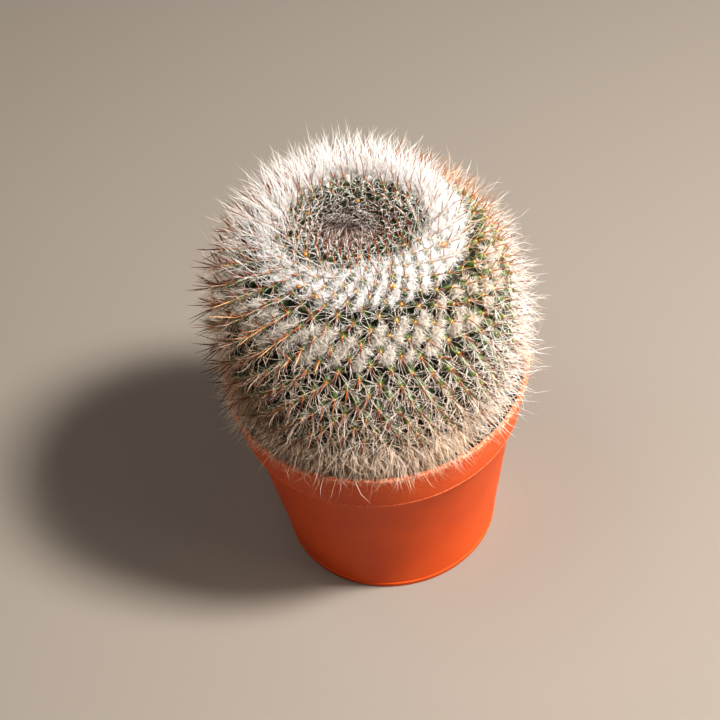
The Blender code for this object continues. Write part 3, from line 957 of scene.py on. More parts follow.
@dataclass
class Spines:
    """All the spines: radials that spread from every areole, and two centrals.

    Pairs named "_draw" are the ends of a random range; single ones are a normal spread.
    """

    form: PlantForm
    pot: NurseryPot
    low: Vector
    high: Vector
    draw: np.random.Generator
    # The plant's parts: the shaded left flank, where centrals reach past the radials and the
    # spines are aged darker as painted shade, the sunny right one, whose radials are aged paler
    # as painted light, the golden right shoulder, and the ring's front, clear of radials.
    left: Patch = Patch((-1.0, 0.0), (0.3, 0.9), ((0.036, 0.050), (0.134, 0.122)))
    right: Patch = Patch((1.0, 0.0), (0.4, 0.9), ((0.046, 0.058),))
    gold: Patch = Patch((1.0, 0.0), (0.35, 0.8), ((0.033, 0.038), (0.060, 0.048)))
    front: Patch = Patch((0.0, -1.0), (0.1, 0.8), ((0.013, 0.017), (0.038, 0.032)))
    left_low: Pair = (0.056, 0.068)
    belt: Pair = (0.076, 0.094)
    grown: Pair = (0.034, 0.046)
    # Every spine.
    parts: tuple[float, ...] = (0.0, 0.013, 0.052, 0.082, 1.0)
    areole_radius: float = 0.45 * MM
    radial_depth: float = 0.15 * MM
    central_depth: float = 0.25 * MM
    far_tilt: float = 26.0
    far_tilt_to: Pair = (0.016, 0.009)
    age_draw: float = 0.10
    lifts: int = 14
    lift: float = 0.09
    # Radials.
    number_draw: Pair = (-2.0, 2.0)
    fewest: int = 3
    front_cut: float = 0.25
    gold_cut: float = 0.35
    left_more: float = 0.28
    right_gain: float = 0.22
    stray_draw: float = 0.26
    belt_stray: float = 0.5
    bald_share: float = 0.72
    bald_belt: float = 0.4
    bald_facing: Pair = (0.1, 0.8)
    lean_draw: float = 22.0
    belt_lean: float = 10.0
    length_draw: Pair = (0.60, 1.12)
    left_cut: float = 0.42
    far_gain: float = 0.45
    far_gain_to: Pair = (0.014, 0.009)
    down_gain: float = 0.18
    bend_draw: float = 0.30
    gather: float = 0.20
    droop: float = 0.08
    belt_sag: float = 0.05
    kink_draw: float = 0.13
    belt_kink: float = 0.3
    radius_draw: Pair = (0.85, 1.15)
    gold_age: float = 0.55
    # Painted shade on the left and painted light on the right, as shifts of age.
    left_painted_shade_age: float = 0.32
    right_painted_light_age: float = 0.28
    belt_ages: Pair = (-0.34, 0.25)
    pale_from: Pair = (0.5, 0.8)
    # Centrals.
    left_stray: float = 0.9
    core_stray: float = 0.9
    core: Pair = (0.014, 0.007)
    left_lean: float = 16.0
    central_lean_draw: float = 7.0
    sway_draw: float = 9.0
    central_length_draw: Pair = (0.8, 1.12)
    left_gain: float = 0.18
    left_upper: float = 1.6
    right_cut: float = 0.28
    central_bend_draw: float = 0.035
    central_step: float = 0.2 * MM
    central_radius_draw: Pair = (0.9, 1.1)
    left_radius: float = 0.3
    central_age: float = 0.6
    mauve: Pair = (0.010, 0.020)
    gold_tone: float = 0.9
    # Long bristles and fringe: a tuft is its tilt, its least and most lean and its length.
    tuft_length_draw: Pair = (0.75, 1.1)
    tuft_bend_draw: float = 0.11
    tuft_kink_draw: float = 0.03
    bristles_from: float = 0.020
    bristles_each: int = 12
    bristle_tuft: tuple[float, Pair, float] = (-6.0, (10.0, 42.0), 10.4 * MM)
    bristle_cuts: tuple[tuple[Patch, float], ...] = (
        (front, 0.75),
        (Patch((-1.0, 0.0), (0.2, 0.8)), 0.12),
        (Patch((1.0, 0.0), (0.2, 0.8), ((0.027, 0.033),)), 0.85),
    )
    sunny: Patch = Patch((1.0, 0.0), (0.0, 0.9))
    sunny_share: float = 0.08
    bristle_gain: float = 1.08
    longest_angle: float = 2.5
    longest_gain: float = 0.28
    fringe_from: float = 0.088
    fringe_each: int = 32
    fringe_tuft: tuple[float, Pair, float] = (-30.0, (8.0, 64.0), 11.5 * MM)
    fringe_angle: float = -1.95
    fringe_facing: Pair = (0.35, 0.8)
    fringe_least: float = 0.05
    fringe_length_draw: Pair = (0.65, 0.95)
    fringe_bend_draw: float = 0.16
    fringe_kink_draw: float = 0.10
    # Long orange spines: arc length, angle, crownward and sideways lean, and millimetres.
    long_radius: float = 0.16 * MM
    long_reach: float = 40.0
    long_bend_draw: float = 0.02
    long_age: float = 0.7
    long_tone: float = 0.5
    long_places: tuple[tuple[float, float, float, float, float], ...] = (
        (0.0428, -2.12, -0.86, 0.36, 12.6),
        (0.0514, -2.29, -0.23, -0.10, 11.0),
        (0.0531, -2.50, 0.03, -0.49, 11.0),
        (0.0444, -2.34, -0.68, 0.15, 12.1),
        (0.0505, -2.58, -0.08, 0.18, 14.5),
        (0.0477, -2.77, -0.37, -0.14, 12.0),
        (0.0497, -2.07, -0.34, -0.26, 10.5),
        (0.0525, -1.94, -0.08, -0.17, 10.5),
        (0.0541, -2.15, 0.14, -0.28, 11.0),
    )

    def row(self, name: str, s: Array) -> Array:
        """Value of one of the rows' columns at arc lengths."""
        arcs = [r.arc * MM for r in SPINE_ROWS]
        return np.interp(s, arcs, [getattr(r, name) for r in SPINE_ROWS])

    def far(self, window: Pair, s: Array, turn: Array) -> Array:
        """Share of the crown's far side, up to where a window ends."""
        return smooth_step(*window, s) * np.clip(np.sin(turn), 0.0, 1.0)

    def tilted(
        self, s: Array, turn: Array, tilt: float | Array | None = None
    ) -> tuple[Array, Array, Array]:
        """Find the areoles' own directions.

        Args:
            s: arc lengths.
            turn: angles.
            tilt: tilt towards the crown in degrees, or None for the rows' own.

        Returns:
            Axis, crownward and sideways unit vectors.
        """
        if tilt is None:
            tilt = self.row("tilt", s) + self.far_tilt * self.far(self.far_tilt_to, s, turn)
        out, crown, side = self.form.axes(s, turn)
        tilt = np.radians(tilt * np.ones_like(s))
        return between(out, crown, tilt), between(crown, -out, tilt), side

    def radials(self) -> Strands:
        """Draw the radial spines of every areole, few of them on its crown side."""
        form, draw = self.form, self.draw
        s, turn = form.arcs, form.turns
        wanted = self.row("radials", s) + draw.uniform(*self.number_draw, len(s))
        thin = self.front_cut * self.front.share(s, turn)
        thin = thin + self.gold_cut * self.gold.share(s, turn)
        thin = thin - self.left_more * self.left.share(s, turn)
        thin = thin + self.right_gain * self.right.share(s, turn)
        number = np.maximum(np.round(wanted * (1.0 - thin)).astype(int), self.fewest)
        owner = np.repeat(np.arange(len(s)), number)
        rank = np.concatenate([np.arange(n) for n in number])
        start = draw.uniform(0.0, math.tau, len(s))[owner]
        belt, grown = smooth_step(*self.belt, s[owner]), smooth_step(*self.grown, s[owner])
        stray = draw.normal(0.0, 1.0, len(owner)) * (self.stray_draw + self.belt_stray * belt)
        angle = start + math.tau * rank / number[owner] + stray
        bald = self.bald_share * (1.0 - self.bald_belt * belt) * grown
        bald = bald * smooth_step(*self.bald_facing, np.cos(angle))
        kept = draw.uniform(0.0, 1.0, len(owner)) > bald
        owner, angle, belt, grown = owner[kept], angle[kept], belt[kept], grown[kept]
        s, turn, size = s[owner], turn[owner], len(owner)
        left, right = self.left.share(s, turn), self.right.share(s, turn)
        axis, crown, side = self.tilted(s, turn)
        spread = draw.normal(0.0, 1.0, size) * (self.lean_draw + self.belt_lean * belt)
        across = between(crown, side, angle)
        ways = unit(between(axis, across, np.radians(self.row("radial_lean", s) + spread)))
        lengths = self.row("radial_length", s) * MM * draw.uniform(*self.length_draw, size)
        lengths = lengths * (1.0 - self.left_cut * smooth_step(*self.left_low, s) * left)
        lengths = lengths * (1.0 + self.far_gain * self.far(self.far_gain_to, s, turn))
        lengths = lengths * (1.0 - self.down_gain * grown * np.cos(angle))
        bends = draw.normal(0.0, self.bend_draw, (size, 3))
        bends = (bends - self.gather * (1.0 - belt)[:, None] * across) * lengths[:, None]
        bends[:, 2] -= (self.droop * grown + self.belt_sag * belt) * lengths
        kinks = draw.normal(0.0, self.kink_draw, (size, 3))
        kinks = kinks * (lengths * (1.0 + self.belt_kink * belt))[:, None]
        radii = self.row("radial_radius", s) * MM * draw.uniform(*self.radius_draw, size)
        radii = radii * (1.0 + self.right_gain * right)
        ages = self.row("age", s) + self.gold_age * self.gold.share(s, turn)
        # Painted shade and light: radials older and darker on the shaded left, paler on the sunny
        # right.
        ages = ages + self.left_painted_shade_age * left - self.right_painted_light_age * right
        ages = ages + draw.normal(0.0, self.age_draw, size)
        ages = ages + belt * np.where(draw.uniform(0.0, 1.0, size) < 0.5, *self.belt_ages)
        tones = smooth_step(*self.pale_from, draw.uniform(0.0, 1.0, size))
        roots = form.place(s, turn, self.radial_depth) + across * self.areole_radius
        return Strands(roots, ways, lengths, radii, bends, kinks, np.clip(ages, 0.0, 1.0), tones)

    def centrals(self) -> Strands:
        """Draw two centrals to an areole, one towards the crown and one away from it."""
        form, draw = self.form, self.draw
        s, turn = np.tile(form.arcs, 2), np.tile(form.turns, 2)
        size = len(s)
        upper = np.arange(size) < len(form.arcs)
        left = self.left.share(s, turn)
        axis, crown, side = self.tilted(s, turn)
        stray = 1.0 + self.left_stray * left + self.core_stray * smooth_step(*self.core, s)
        lean = np.where(upper, self.row("up_lean", s), -self.row("down_lean", s))
        lean = lean - self.left_lean * left * smooth_step(*self.left_low, s)
        lean = np.radians(lean + draw.normal(0.0, self.central_lean_draw, size) * stray)
        sway = np.radians(draw.normal(0.0, self.sway_draw, size) * stray)
        ways = unit(between(axis, crown, lean) + side * np.tan(sway)[:, None])
        lengths = np.where(upper, self.row("up_length", s), self.row("down_length", s)) * MM
        lengths = lengths * draw.uniform(*self.central_length_draw, size)
        lengths = lengths * (1.0 + self.left_gain * np.where(upper, self.left_upper, 1.0) * left)
        lengths = lengths * (1.0 - self.right_cut * self.right.share(s, turn))
        bends = draw.normal(0.0, self.central_bend_draw, (size, 3)) * lengths[:, None]
        step = np.where(upper, self.central_step, -self.central_step)
        radii = self.row("central_radius", s) * MM * draw.uniform(*self.central_radius_draw, size)
        radii = radii * (1.0 + self.left_radius * left)
        mauve = 1.0 - smooth_step(*self.mauve, s)
        ages = np.maximum(self.row("age", s) * self.central_age, mauve)
        # Painted shade: the left flank's centrals are aged darker.
        ages = ages + self.central_age * left + draw.normal(0.0, self.age_draw, size)
        tones = draw.uniform(0.0, 1.0, size) ** 2 + self.gold_tone * self.gold.share(s, turn)
        roots = form.place(s, turn, self.central_depth) + crown * step[:, None]
        ages = np.clip(ages, 0.0, 1.0)
        return Strands(roots, ways, lengths, radii, bends, 0.0 * bends, ages, tones)

    def tufts(self, owner: Array, tilt: float, lean: Pair, length: float) -> Strands:
        """Draw long bristles, each round the axis of the areole that it grows from.

        Args:
            owner: number of the areole of each bristle.
            tilt: turn of the tuft's axis from the outward direction to the crown, degrees.
            lean: least and most angle between a bristle and the tuft's axis, degrees.
            length: length of a bristle.

        Returns:
            The bristles.
        """
        draw, size = self.draw, len(owner)
        s, turn = self.form.arcs[owner], self.form.turns[owner]
        axis, crown, side = self.tilted(s, turn, tilt)
        across = between(crown, side, draw.uniform(0.0, math.tau, size))
        leans = np.radians(draw.uniform(*lean, size))
        lengths = length * draw.uniform(*self.tuft_length_draw, size)
        return Strands(
            roots=self.form.place(s, turn, self.radial_depth) + across * self.areole_radius,
            ways=unit(between(axis, across, leans)), lengths=lengths,
            radii=self.row("radial_radius", s) * MM,
            bends=draw.normal(0.0, self.tuft_bend_draw, (size, 3)) * lengths[:, None],
            kinks=draw.normal(0.0, self.tuft_kink_draw, (size, 3)) * lengths[:, None],
            ages=np.clip(self.row("age", s) + draw.normal(0.0, self.age_draw, size), 0.0, 1.0),
            tones=draw.uniform(0.0, 1.0, size),
        )

    def long_orange(self) -> Strands:
        """Draw the long orange spines, each from the areole nearest to its place."""
        form, draw = self.form, self.draw
        table = np.array(self.long_places)
        s_gap = (form.arcs[None, :] - table[:, :1]) / MM
        turn_gap = (form.turns[None, :] - table[:, 1:2] + math.pi) % math.tau - math.pi
        owner = np.argmin(s_gap**2 + (turn_gap * self.long_reach) ** 2, axis=1)
        s, turn, size = form.arcs[owner], form.turns[owner], len(owner)
        out, crown, side = form.axes(s, turn)
        lengths = table[:, 4] * MM
        bends = draw.normal(0.0, self.long_bend_draw, (size, 3)) * lengths[:, None]
        return Strands(
            roots=form.place(s, turn, self.central_depth),
            ways=unit(out + crown * table[:, 2:3] + side * table[:, 3:4]), lengths=lengths,
            radii=np.full(size, self.long_radius), bends=bends, kinks=0.0 * bends,
            ages=draw.uniform(0.0, self.long_age, size),
            tones=draw.uniform(0.0, self.long_tone, size),
        )

    def ring_bristles(self) -> Strands:
        """Draw the long white bristles over the wool ring, and a few on the sunny side."""
        form = self.form
        owner = np.repeat(np.flatnonzero(form.arcs > self.bristles_from), self.bristles_each)
        s, turn = form.arcs[owner], form.turns[owner]
        share = 1.0 - smooth_step(*self.grown, s)
        for patch, cut in self.bristle_cuts:
            share = share * (1.0 - cut * patch.share(s, turn))
        share = np.maximum(share, self.sunny_share * self.sunny.share(s, turn))
        chosen = self.draw.uniform(0.0, 1.0, len(owner)) < share
        bristles = self.tufts(owner[chosen], *self.bristle_tuft)
        facing = np.clip(np.cos(turn[chosen] - self.longest_angle), 0.0, 1.0)
        bristles.lengths *= 1.0 + self.longest_gain * facing
        bristles.radii *= self.bristle_gain
        return bristles

    def rim_fringe(self) -> Strands:
        """Draw the beige bristles that hang from the lowest rows over the pot's rim."""
        form, draw = self.form, self.draw
        owner = np.repeat(np.flatnonzero(form.arcs > self.fringe_from), self.fringe_each)
        facing = smooth_step(*self.fringe_facing, np.cos(form.turns[owner] - self.fringe_angle))
        share = self.fringe_least + (1.0 - self.fringe_least) * facing
        owner = owner[draw.uniform(0.0, 1.0, len(owner)) < share]
        size = len(owner)
        fringe = self.tufts(owner, *self.fringe_tuft)
        fringe.lengths *= draw.uniform(*self.fringe_length_draw, size)
        lengths = fringe.lengths[:, None]
        fringe.bends += draw.normal(0.0, self.fringe_bend_draw, (size, 3)) * lengths
        fringe.kinks += draw.normal(0.0, self.fringe_kink_draw, (size, 3)) * lengths
        fringe.bends[:, 2] -= self.belt_sag * fringe.lengths
        return fringe

    def lift_clear(self, strands: Strands) -> Strands:
        """Turn the strands up that would pass through the pot's wall.

        Args:
            strands: the strands.

        Returns:
            Those that are clear of the pot in the end.
        """
        for _ in range(self.lifts):
            hit = self.pot.blocks(strands)
            strands.ways[hit] = unit(strands.ways[hit] + np.array([0.0, 0.0, self.lift]))
        return strands.take(~self.pot.blocks(strands))

    def build(self) -> None:
        """Build the spines, in pieces by their place down the plant."""
        radials = self.lift_clear(self.radials())
        centrals = self.lift_clear(self.centrals())
        for strands in (radials, centrals):
            strands.fit(self.low, self.high)
        arc = self.arc_of(radials.roots)
        names = ("crown_radials", "ring_radials", "side_radials", "belt_radials")
        for name, start, stop in zip(names, self.parts, self.parts[1:]):
            finish = Finishes.BRISTLE if name == "crown_radials" else Finishes.RADIAL
            radials.take((arc >= start) & (arc < stop)).build(name, finish, 3)
        centrals.build("central_spines", Finishes.CENTRAL, 4, taper=0.30)
        self.long_orange().build("long_spines", Finishes.LONG, 5, taper=0.4)
        hairs = {"long_bristles": self.ring_bristles(), "rim_fringe": self.rim_fringe()}
        for name, strands in hairs.items():
            strands = self.lift_clear(strands)
            strands.fit(self.low, self.high)
            strands.build(name, Finishes.RADIAL, 3)

    def arc_of(self, points: Array) -> Array:
        """Find the arc lengths of points that lie near the form.

        Args:
            points: the points.

        Returns:
            Their arc lengths, to a fraction of a millimetre.
        """
        form, step = self.form, slice(None, None, 20)
        r = np.hypot(points[:, 0] - form.axis_x, points[:, 1])
        away = (form.r[None, step] - r[:, None]) ** 2 + (form.z[None, step] - points[:, 2:3]) ** 2
        return form.s[step][np.argmin(away, axis=1)]


@dataclass
class Areoles:
    """The felted cushion on each tubercle's tip, by its shares of the tubercles' spacing."""

    form: PlantForm
    draw: np.random.Generator
    radius_share: float = 0.078
    radius_draw: Pair = (0.85, 1.2)
    length_share: float = 1.6
    height_share: float = 0.6
    young_to: float = 0.019

    def build(self) -> None:
        """Copy a flattened ball onto every tip: white felt on the young ones, tan on others."""
        form = self.form
        young = form.arcs < self.young_to
        for name, chosen, finish in (
            ("young_areoles", young, Finishes.WOOL), ("areoles", ~young, Finishes.AREOLE),
        ):
            s, turn = form.arcs[chosen], form.turns[chosen]
            out, crown, side = form.axes(s, turn)
            size = form.spacing(s) * self.radius_share
            size = (size * self.draw.uniform(*self.radius_draw, len(s)))[:, None]
            axes = [crown * size * self.length_share, side * size, out * size * self.height_share]
            ball = bmesh.new()
            bmesh.ops.create_icosphere(ball, subdivisions=1, radius=1.0)
            mesh, _ = copies(ball, np.stack(axes, axis=2), form.place(s, turn))
            add_piece(name, mesh, finish)


@dataclass
class AxilWoolMat:
    """White wool in the axils: the ring round the crown, and tufts in rows below it.

    Depths are shares of the tubercles' height. Pairs of fibre values are for the ring and
    the rows.
    """

    net: Net
    draw: np.random.Generator
    low: Vector
    high: Vector
    cuts: int = 4
    ring_from: float = 0.0241
    ring_to: float = 0.0358
    ring_edge: float = 0.0016
    ring_lean: float = 0.0012
    front_gain: float = 0.0044
    back_gain: float = 0.0028
    end_power: float = 1.5
    left_open: float = 0.0026
    open_angle: float = -2.1
    ring_gap: Pair = (0.20, 0.66)
    ring_tear: float = 0.6
    band_from: float = 0.0420
    band_to: float = 0.0555
    band_edge: float = 0.0020
    band_family: int = 34
    band_angle: float = -1.65
    band_tuft: Pair = (0.54, 0.86)
    band_fade: float = 0.60
    tear: float = 1.1
    tear_size: float = 2.6 * MM
    ring_depth: float = 0.24
    band_depth: float = 0.28
    bare_depth: float = 1.1
    swell: float = 0.10
    tip_depth: float = 0.80
    tip_swell: float = 0.40
    tip_peak: Pair = (0.50, 0.95)
    lump: float = 1.15 * MM
    lump_size: float = 2.6 * MM
    least_full: float = 0.16
    thickness: float = 0.9 * MM
    highest_peak: float = 0.75
    fibre_full: Pair = (0.35, 0.85)
    fibres: tuple[int, int] = (17500, 15500)
    fibre_gains: Pair = (1.0, 0.85)
    fibre_widths: Pair = (1.0, 1.20)
    fibre_length: float = 2.8 * MM
    fibre_radius: float = 0.062 * MM
    fibre_length_draw: Pair = (0.5, 1.3)
    fibre_age_draw: Pair = (0.1, 0.8)
    root_draw: float = 0.15 * MM
    way_draw: float = 0.75
    bend_draw: float = 0.40
    kink_draw: float = 0.16

    def cover(self, s: Array, turn: Array) -> tuple[Array, Array]:
        """Tell how much of the axils wool fills.

        Args:
            s: arc lengths.
            turn: angles.

        Returns:
            The share in the ring and the share in the rows below it.
        """
        form = self.net.form
        front, back = (np.clip(sign * np.sin(turn), 0.0, 1.0) for sign in (-1.0, 1.0))
        start = self.ring_from - self.front_gain * front**self.end_power
        start = start + self.left_open * np.clip(-np.cos(turn), 0.0, 1.0)
        start = start - self.back_gain * back**self.end_power
        end, edge, soft = self.ring_to, self.ring_edge, self.band_edge
        ring = smooth_step(-edge, edge, s - start)
        ring = ring * smooth_step(end + edge, end - edge, s - self.ring_lean * np.cos(turn))
        band = smooth_step(self.band_from - soft, self.band_from + soft, s)
        band = band * smooth_step(self.band_to + soft, self.band_to - soft, s)
        stripe = away_share(0.0, math.tau * form.row_phase(s, turn, self.band_family))
        torn = self.tear * form.waves(s, turn, self.tear_size)
        gap = 1.0 - smooth_step(*self.ring_gap, stripe + self.ring_tear * torn)
        ring = ring * (1.0 - (1.0 - away_share(self.open_angle, turn)) * gap)
        fade = self.band_fade * away_share(self.band_angle, turn)
        least, most = self.band_tuft
        return ring, band * smooth_step(least + fade, most + fade, stripe + torn)

    def build(self) -> None:
        """Build the mat and the loose fibres on it."""
        form = self.net.form
        mat = self.net.flat(self.cuts)
        s, turn, peak = self.net.polar(mat)
        ring, band = self.cover(s, turn)
        filled = np.maximum(ring, band)
        shut = away_share(self.open_angle, turn)
        depth = np.where(ring >= band, self.ring_depth, self.band_depth) - self.swell * shut
        tips = (self.tip_depth - self.tip_swell * shut) * smooth_step(*self.tip_peak, peak)
        depth = depth + (1.0 - filled) * self.bare_depth + tips
        lumps = [
            noise.fractal(Vector(p) / self.lump_size, 1.0, 2.0, 3) for p in form.place(s, turn)
        ]
        self.net.lay(mat, depth * form.height(s) - self.lump * np.array(lumps) * filled)
        old = mat.verts.layers.float.new("age")
        full = mat.verts.layers.float.new("full")
        for v, age, share in zip(mat.verts, np.where(ring >= band, 0.0, 1.0), filled):
            v[old] = age
            v[full] = share
        bare = [v for v, share in zip(mat.verts, filled) if share < self.least_full]
        bmesh.ops.delete(mat, geom=bare, context="VERTS")
        bmesh.ops.recalc_face_normals(mat, faces=mat.faces[:])
        if sum(f.normal.z for f in mat.faces) < 0.0:
            bmesh.ops.reverse_faces(mat, faces=mat.faces[:])
        mat.normal_update()
        self.grow_fibres(mat)
        self.thicken(mat)
        bmesh.ops.recalc_face_normals(mat, faces=mat.faces[:])
        mesh = to_mesh(mat, "wool")
        add_piece("crown_wool_mat", mesh, Finishes.WOOL, ["crown_wool"])

    def thicken(self, mat: BMesh) -> None:
        """Give the mat its thickness, and pull back what a sharp fold throws out."""
        outer = KDTree(len(mat.verts))
        for k, v in enumerate(mat.verts):
            outer.insert(v.co, k)
        outer.balance()
        bmesh.ops.solidify(mat, geom=mat.faces[:], thickness=self.thickness)
        for v in mat.verts:
            near, _, away = outer.find(v.co)
            if away > self.thickness:
                v.co = near + (v.co - near) * (self.thickness / away)

    def grow_fibres(self, mat: BMesh) -> None:
        """Grow curled fibres from random faces of the mat, in the ring and in the rows below."""
        draw, layers = self.draw, mat.verts.layers.float
        peak, old, full = layers["peak"], layers["age"], layers["full"]
        faces = [f for f in mat.faces if max(v[peak] for v in f.verts) < self.highest_peak]
        middles = np.array([f.calc_center_median()[:] for f in faces])
        normals = np.array([f.normal[:] for f in faces])
        areas = np.array([f.calc_area() for f in faces])
        ages = np.array([f.verts[0][old] for f in faces])
        fills = np.array([min(v[full] for v in f.verts) for f in faces])
        for name, mine, size, gain, width in zip(
            ("crown_wool_fibres", "row_wool_fibres"), (ages < 0.5, ages > 0.5), self.fibres,
            self.fibre_gains, self.fibre_widths,
        ):
            weight = areas * mine * smooth_step(*self.fibre_full, fills)
            chosen = draw.choice(len(faces), size, p=weight / weight.sum())
            lengths = gain * self.fibre_length * draw.uniform(*self.fibre_length_draw, size)
            fibres = Strands(
                roots=middles[chosen] + draw.normal(0.0, self.root_draw, (size, 3)),
                ways=unit(normals[chosen] + draw.normal(0.0, self.way_draw, (size, 3))),
                lengths=lengths, radii=np.full(size, width * self.fibre_radius),
                bends=draw.normal(0.0, self.bend_draw, (size, 3)) * lengths[:, None],
                kinks=draw.normal(0.0, self.kink_draw, (size, 3)) * lengths[:, None],
                ages=ages[chosen] * draw.uniform(*self.fibre_age_draw, size),
                tones=draw.uniform(0.0, 1.0, size),
            )
            fibres.fit(self.low, self.high)
            fibres.build(name, Finishes.WOOL, 3, joints=1, slot="cactus_wool")


@dataclass
class WitheredFlowers:
    """The few dried flower remnants: where each sits by arc length and angle, and its size."""

    form: PlantForm
    cup_sides: int = 10
    cup_foot: float = 0.35
    cup_mouth: float = 0.70
    cup_height: float = 1.4
    crumple: float = 0.5
    crumple_pace: float = 2.9
    crumple_seeds: tuple[float, ...] = (7.3, 15.1, 23.9)
    sunk: float = 0.2 * MM
    dry: tuple[tuple[float, float, float], ...] = (
        (0.0311, -1.27, 1.25),
        (0.0179, -1.55, 0.95),
        (0.0356, 1.89, 1.20),
        (0.0302, -0.48, 1.30),
        (0.0109, 1.27, 0.75),
        (0.0217, -2.48, 1.00),
        (0.0332, -2.05, 1.10),
        (0.0318, -2.27, 1.00),
        (0.0219, 1.64, 0.85),
        (0.0156, 1.95, 0.60),
        (0.0156, 2.77, 0.65),
        (0.0205, -0.78, 0.75),
        (0.0250, -1.22, 0.70),
    )
    spent: tuple[tuple[float, float, float], ...] = (
        (0.0346, 2.89, 1.15),
        (0.0182, -0.29, 1.10),
        (0.0215, -0.10, 1.00),
    )

    def build(self) -> None:
        """Copy a shrivelled cup to each place: dry orange ones and rotted brown ones."""
        for name, places, finish in (
            ("withered_flowers", self.dry, Finishes.FLOWER),
            ("spent_flowers", self.spent, Finishes.SPENT_FLOWER),
        ):
            s, turn, size = np.array(places).T
            size = (size * MM)[:, None]
            out, crown, side = self.form.axes(s, turn)
            frames = np.stack([crown * size, side * size, out * size], axis=2)
            cup = bmesh.new()
            bmesh.ops.create_cone(
                cup, cap_ends=True, segments=self.cup_sides, radius1=self.cup_foot,
                radius2=self.cup_mouth, depth=self.cup_height,
            )
            bmesh.ops.subdivide_edges(cup, edges=cup.edges[:], cuts=2, use_grid_fill=True)
            for v in cup.verts:
                at = v.co * self.crumple_pace
                push = [noise.noise(at + Vector((k, 0.0, 0.0))) for k in self.crumple_seeds]
                v.co += Vector(push) * self.crumple
            mesh, _ = copies(cup, frames, self.form.place(s, turn, -self.sunk))
            add_piece(name, mesh, finish)


@dataclass
class NurseryPot:
    """A thin moulded pot with a flared collar, a foot ring and drain holes.

    The probes are where along it a strand is tried against the wall: from, to and how many.
    """

    rim_radius: float = 0.0525
    height: float = 0.0784
    collar_height: float = 0.0174
    collar_foot: float = 0.0489
    body_top: float = 0.0463
    base_radius: float = 0.0381
    bead: float = 0.25 * MM
    groove: float = 0.55 * MM
    shoulder: float = 0.0046
    ring_proud: float = 0.35 * MM
    wall: float = 0.0016
    foot_height: float = 0.0024
    foot_width: float = 0.0030
    floor: float = 0.0020
    steps: int = 160
    foot_slope: float = 0.45 * MM
    edge_round: float = 0.16 * MM
    sharp_angle: float = 0.35
    drain_radius: float = 0.0032
    drain_place: float = 0.0262
    drains: int = 6
    mix_top: float = 0.0690
    probes: tuple[float, float, int] = (0.3, 1.0, 8)

    @property
    def shelf(self) -> float:
        """Height of the collar's lower edge."""
        return self.height - self.collar_height

    @property
    def floor_top(self) -> float:
        """Height of the floor's upper side."""
        return self.foot_height + self.floor

    def inside(self, z: float | Array) -> Array:
        """Radius of the inner wall at heights."""
        return self.outside(z) - self.wall

    def outside(self, z: float | Array) -> Array:
        """Find the radius of the outer wall.

        Args:
            z: heights.

        Returns:
            The radius at each of them.
        """
        up = np.clip(z / self.shelf, 0.0, 1.0)
        body = self.base_radius + (self.body_top - self.base_radius) * up
        flare = (self.rim_radius - self.collar_foot) * (z - self.shelf) / self.collar_height
        return np.where(z >= self.shelf, self.collar_foot + flare, body)

    def blocks(self, strands: Strands, clear: float = 0.25 * MM) -> Array:
        """Tell which strands pass through the wall or into the potting mix.

        Args:
            strands: the strands.
            clear: how near to the wall counts as through it.

        Returns:
            True for each strand that does.
        """
        hit = np.zeros(len(strands), bool)
        for t in np.linspace(*self.probes):
            point = strands.at(t)
            r, z = np.hypot(point[:, 0], point[:, 1]), point[:, 2]
            wall = (r > self.inside(z) - clear) & (r < self.outside(z) + clear)
            hit |= (z < self.height + clear) & wall
            hit |= (z < self.mix_top) & (r < self.rim_radius)
        return hit

    def profile(self) -> list[Pair]:
        """Half outline, from the middle of the floor round the rim to the underside."""
        shelf, bead, foot_in = self.shelf, self.bead, self.base_radius - self.foot_width
        return [
            (0.0, self.floor_top),
            (self.inside(self.floor_top), self.floor_top),
            (self.inside(shelf - MM), shelf),
            (self.inside(shelf + 2 * self.wall), shelf + 2 * self.wall),
            (self.inside(self.height), self.height),
            (self.rim_radius, self.height),
            (self.outside(shelf + 3 * bead), shelf + 3 * bead),
            (self.collar_foot + bead, shelf + 2 * bead),
            (self.collar_foot + bead, shelf + bead),
            (self.collar_foot, shelf),
            (self.collar_foot - self.groove, shelf),
            (self.collar_foot - self.groove, shelf - bead),
            (self.body_top, shelf - self.shoulder),
            (self.base_radius, self.foot_height),
            (self.base_radius + self.ring_proud, self.foot_height - self.ring_proud),
            (self.base_radius, 0.0),
            (foot_in, 0.0),
            (foot_in - self.foot_slope, self.foot_height),
            (0.0, self.foot_height),
        ]

    def build(self) -> None:
        """Turn the pot, round its edges and drill its floor."""
        form = turned(self.profile(), self.steps)
        sharp = [e for e in form.edges if e.calc_face_angle(0.0) > self.sharp_angle]
        bmesh.ops.bevel(
            form, geom=sharp, offset=self.edge_round, offset_type="OFFSET", segments=3,
            profile=0.5, affect="EDGES", clamp_overlap=True, material=-1,
        )
        pot = add_piece("nursery_pot", to_mesh(form, "pot"), Finishes.POT, ["pot"])
        drills = bmesh.new()
        for k in range(self.drains):
            turn = math.tau * k / self.drains
            x, y = self.drain_place * math.cos(turn), self.drain_place * math.sin(turn)
            bmesh.ops.create_cone(
                drills, cap_ends=True, segments=32, radius1=self.drain_radius,
                radius2=self.drain_radius, depth=4 * self.floor,
                matrix=Matrix.Translation((x, y, self.foot_height)),
            )
        cutter = link_new("drain_drills", to_mesh(drills, "drain_drills"))
        cut = pot.modifiers.new("Drain holes", "BOOLEAN")
        cut.operation = "DIFFERENCE"
        cut.object = cutter
        bpy.context.view_layer.update()
        whole = pot.evaluated_get(bpy.context.evaluated_depsgraph_get())
        holed = bpy.data.meshes.new_from_object(whole)
        pot.modifiers.clear()
        pot.data = holed
        bpy.data.objects.remove(cutter)


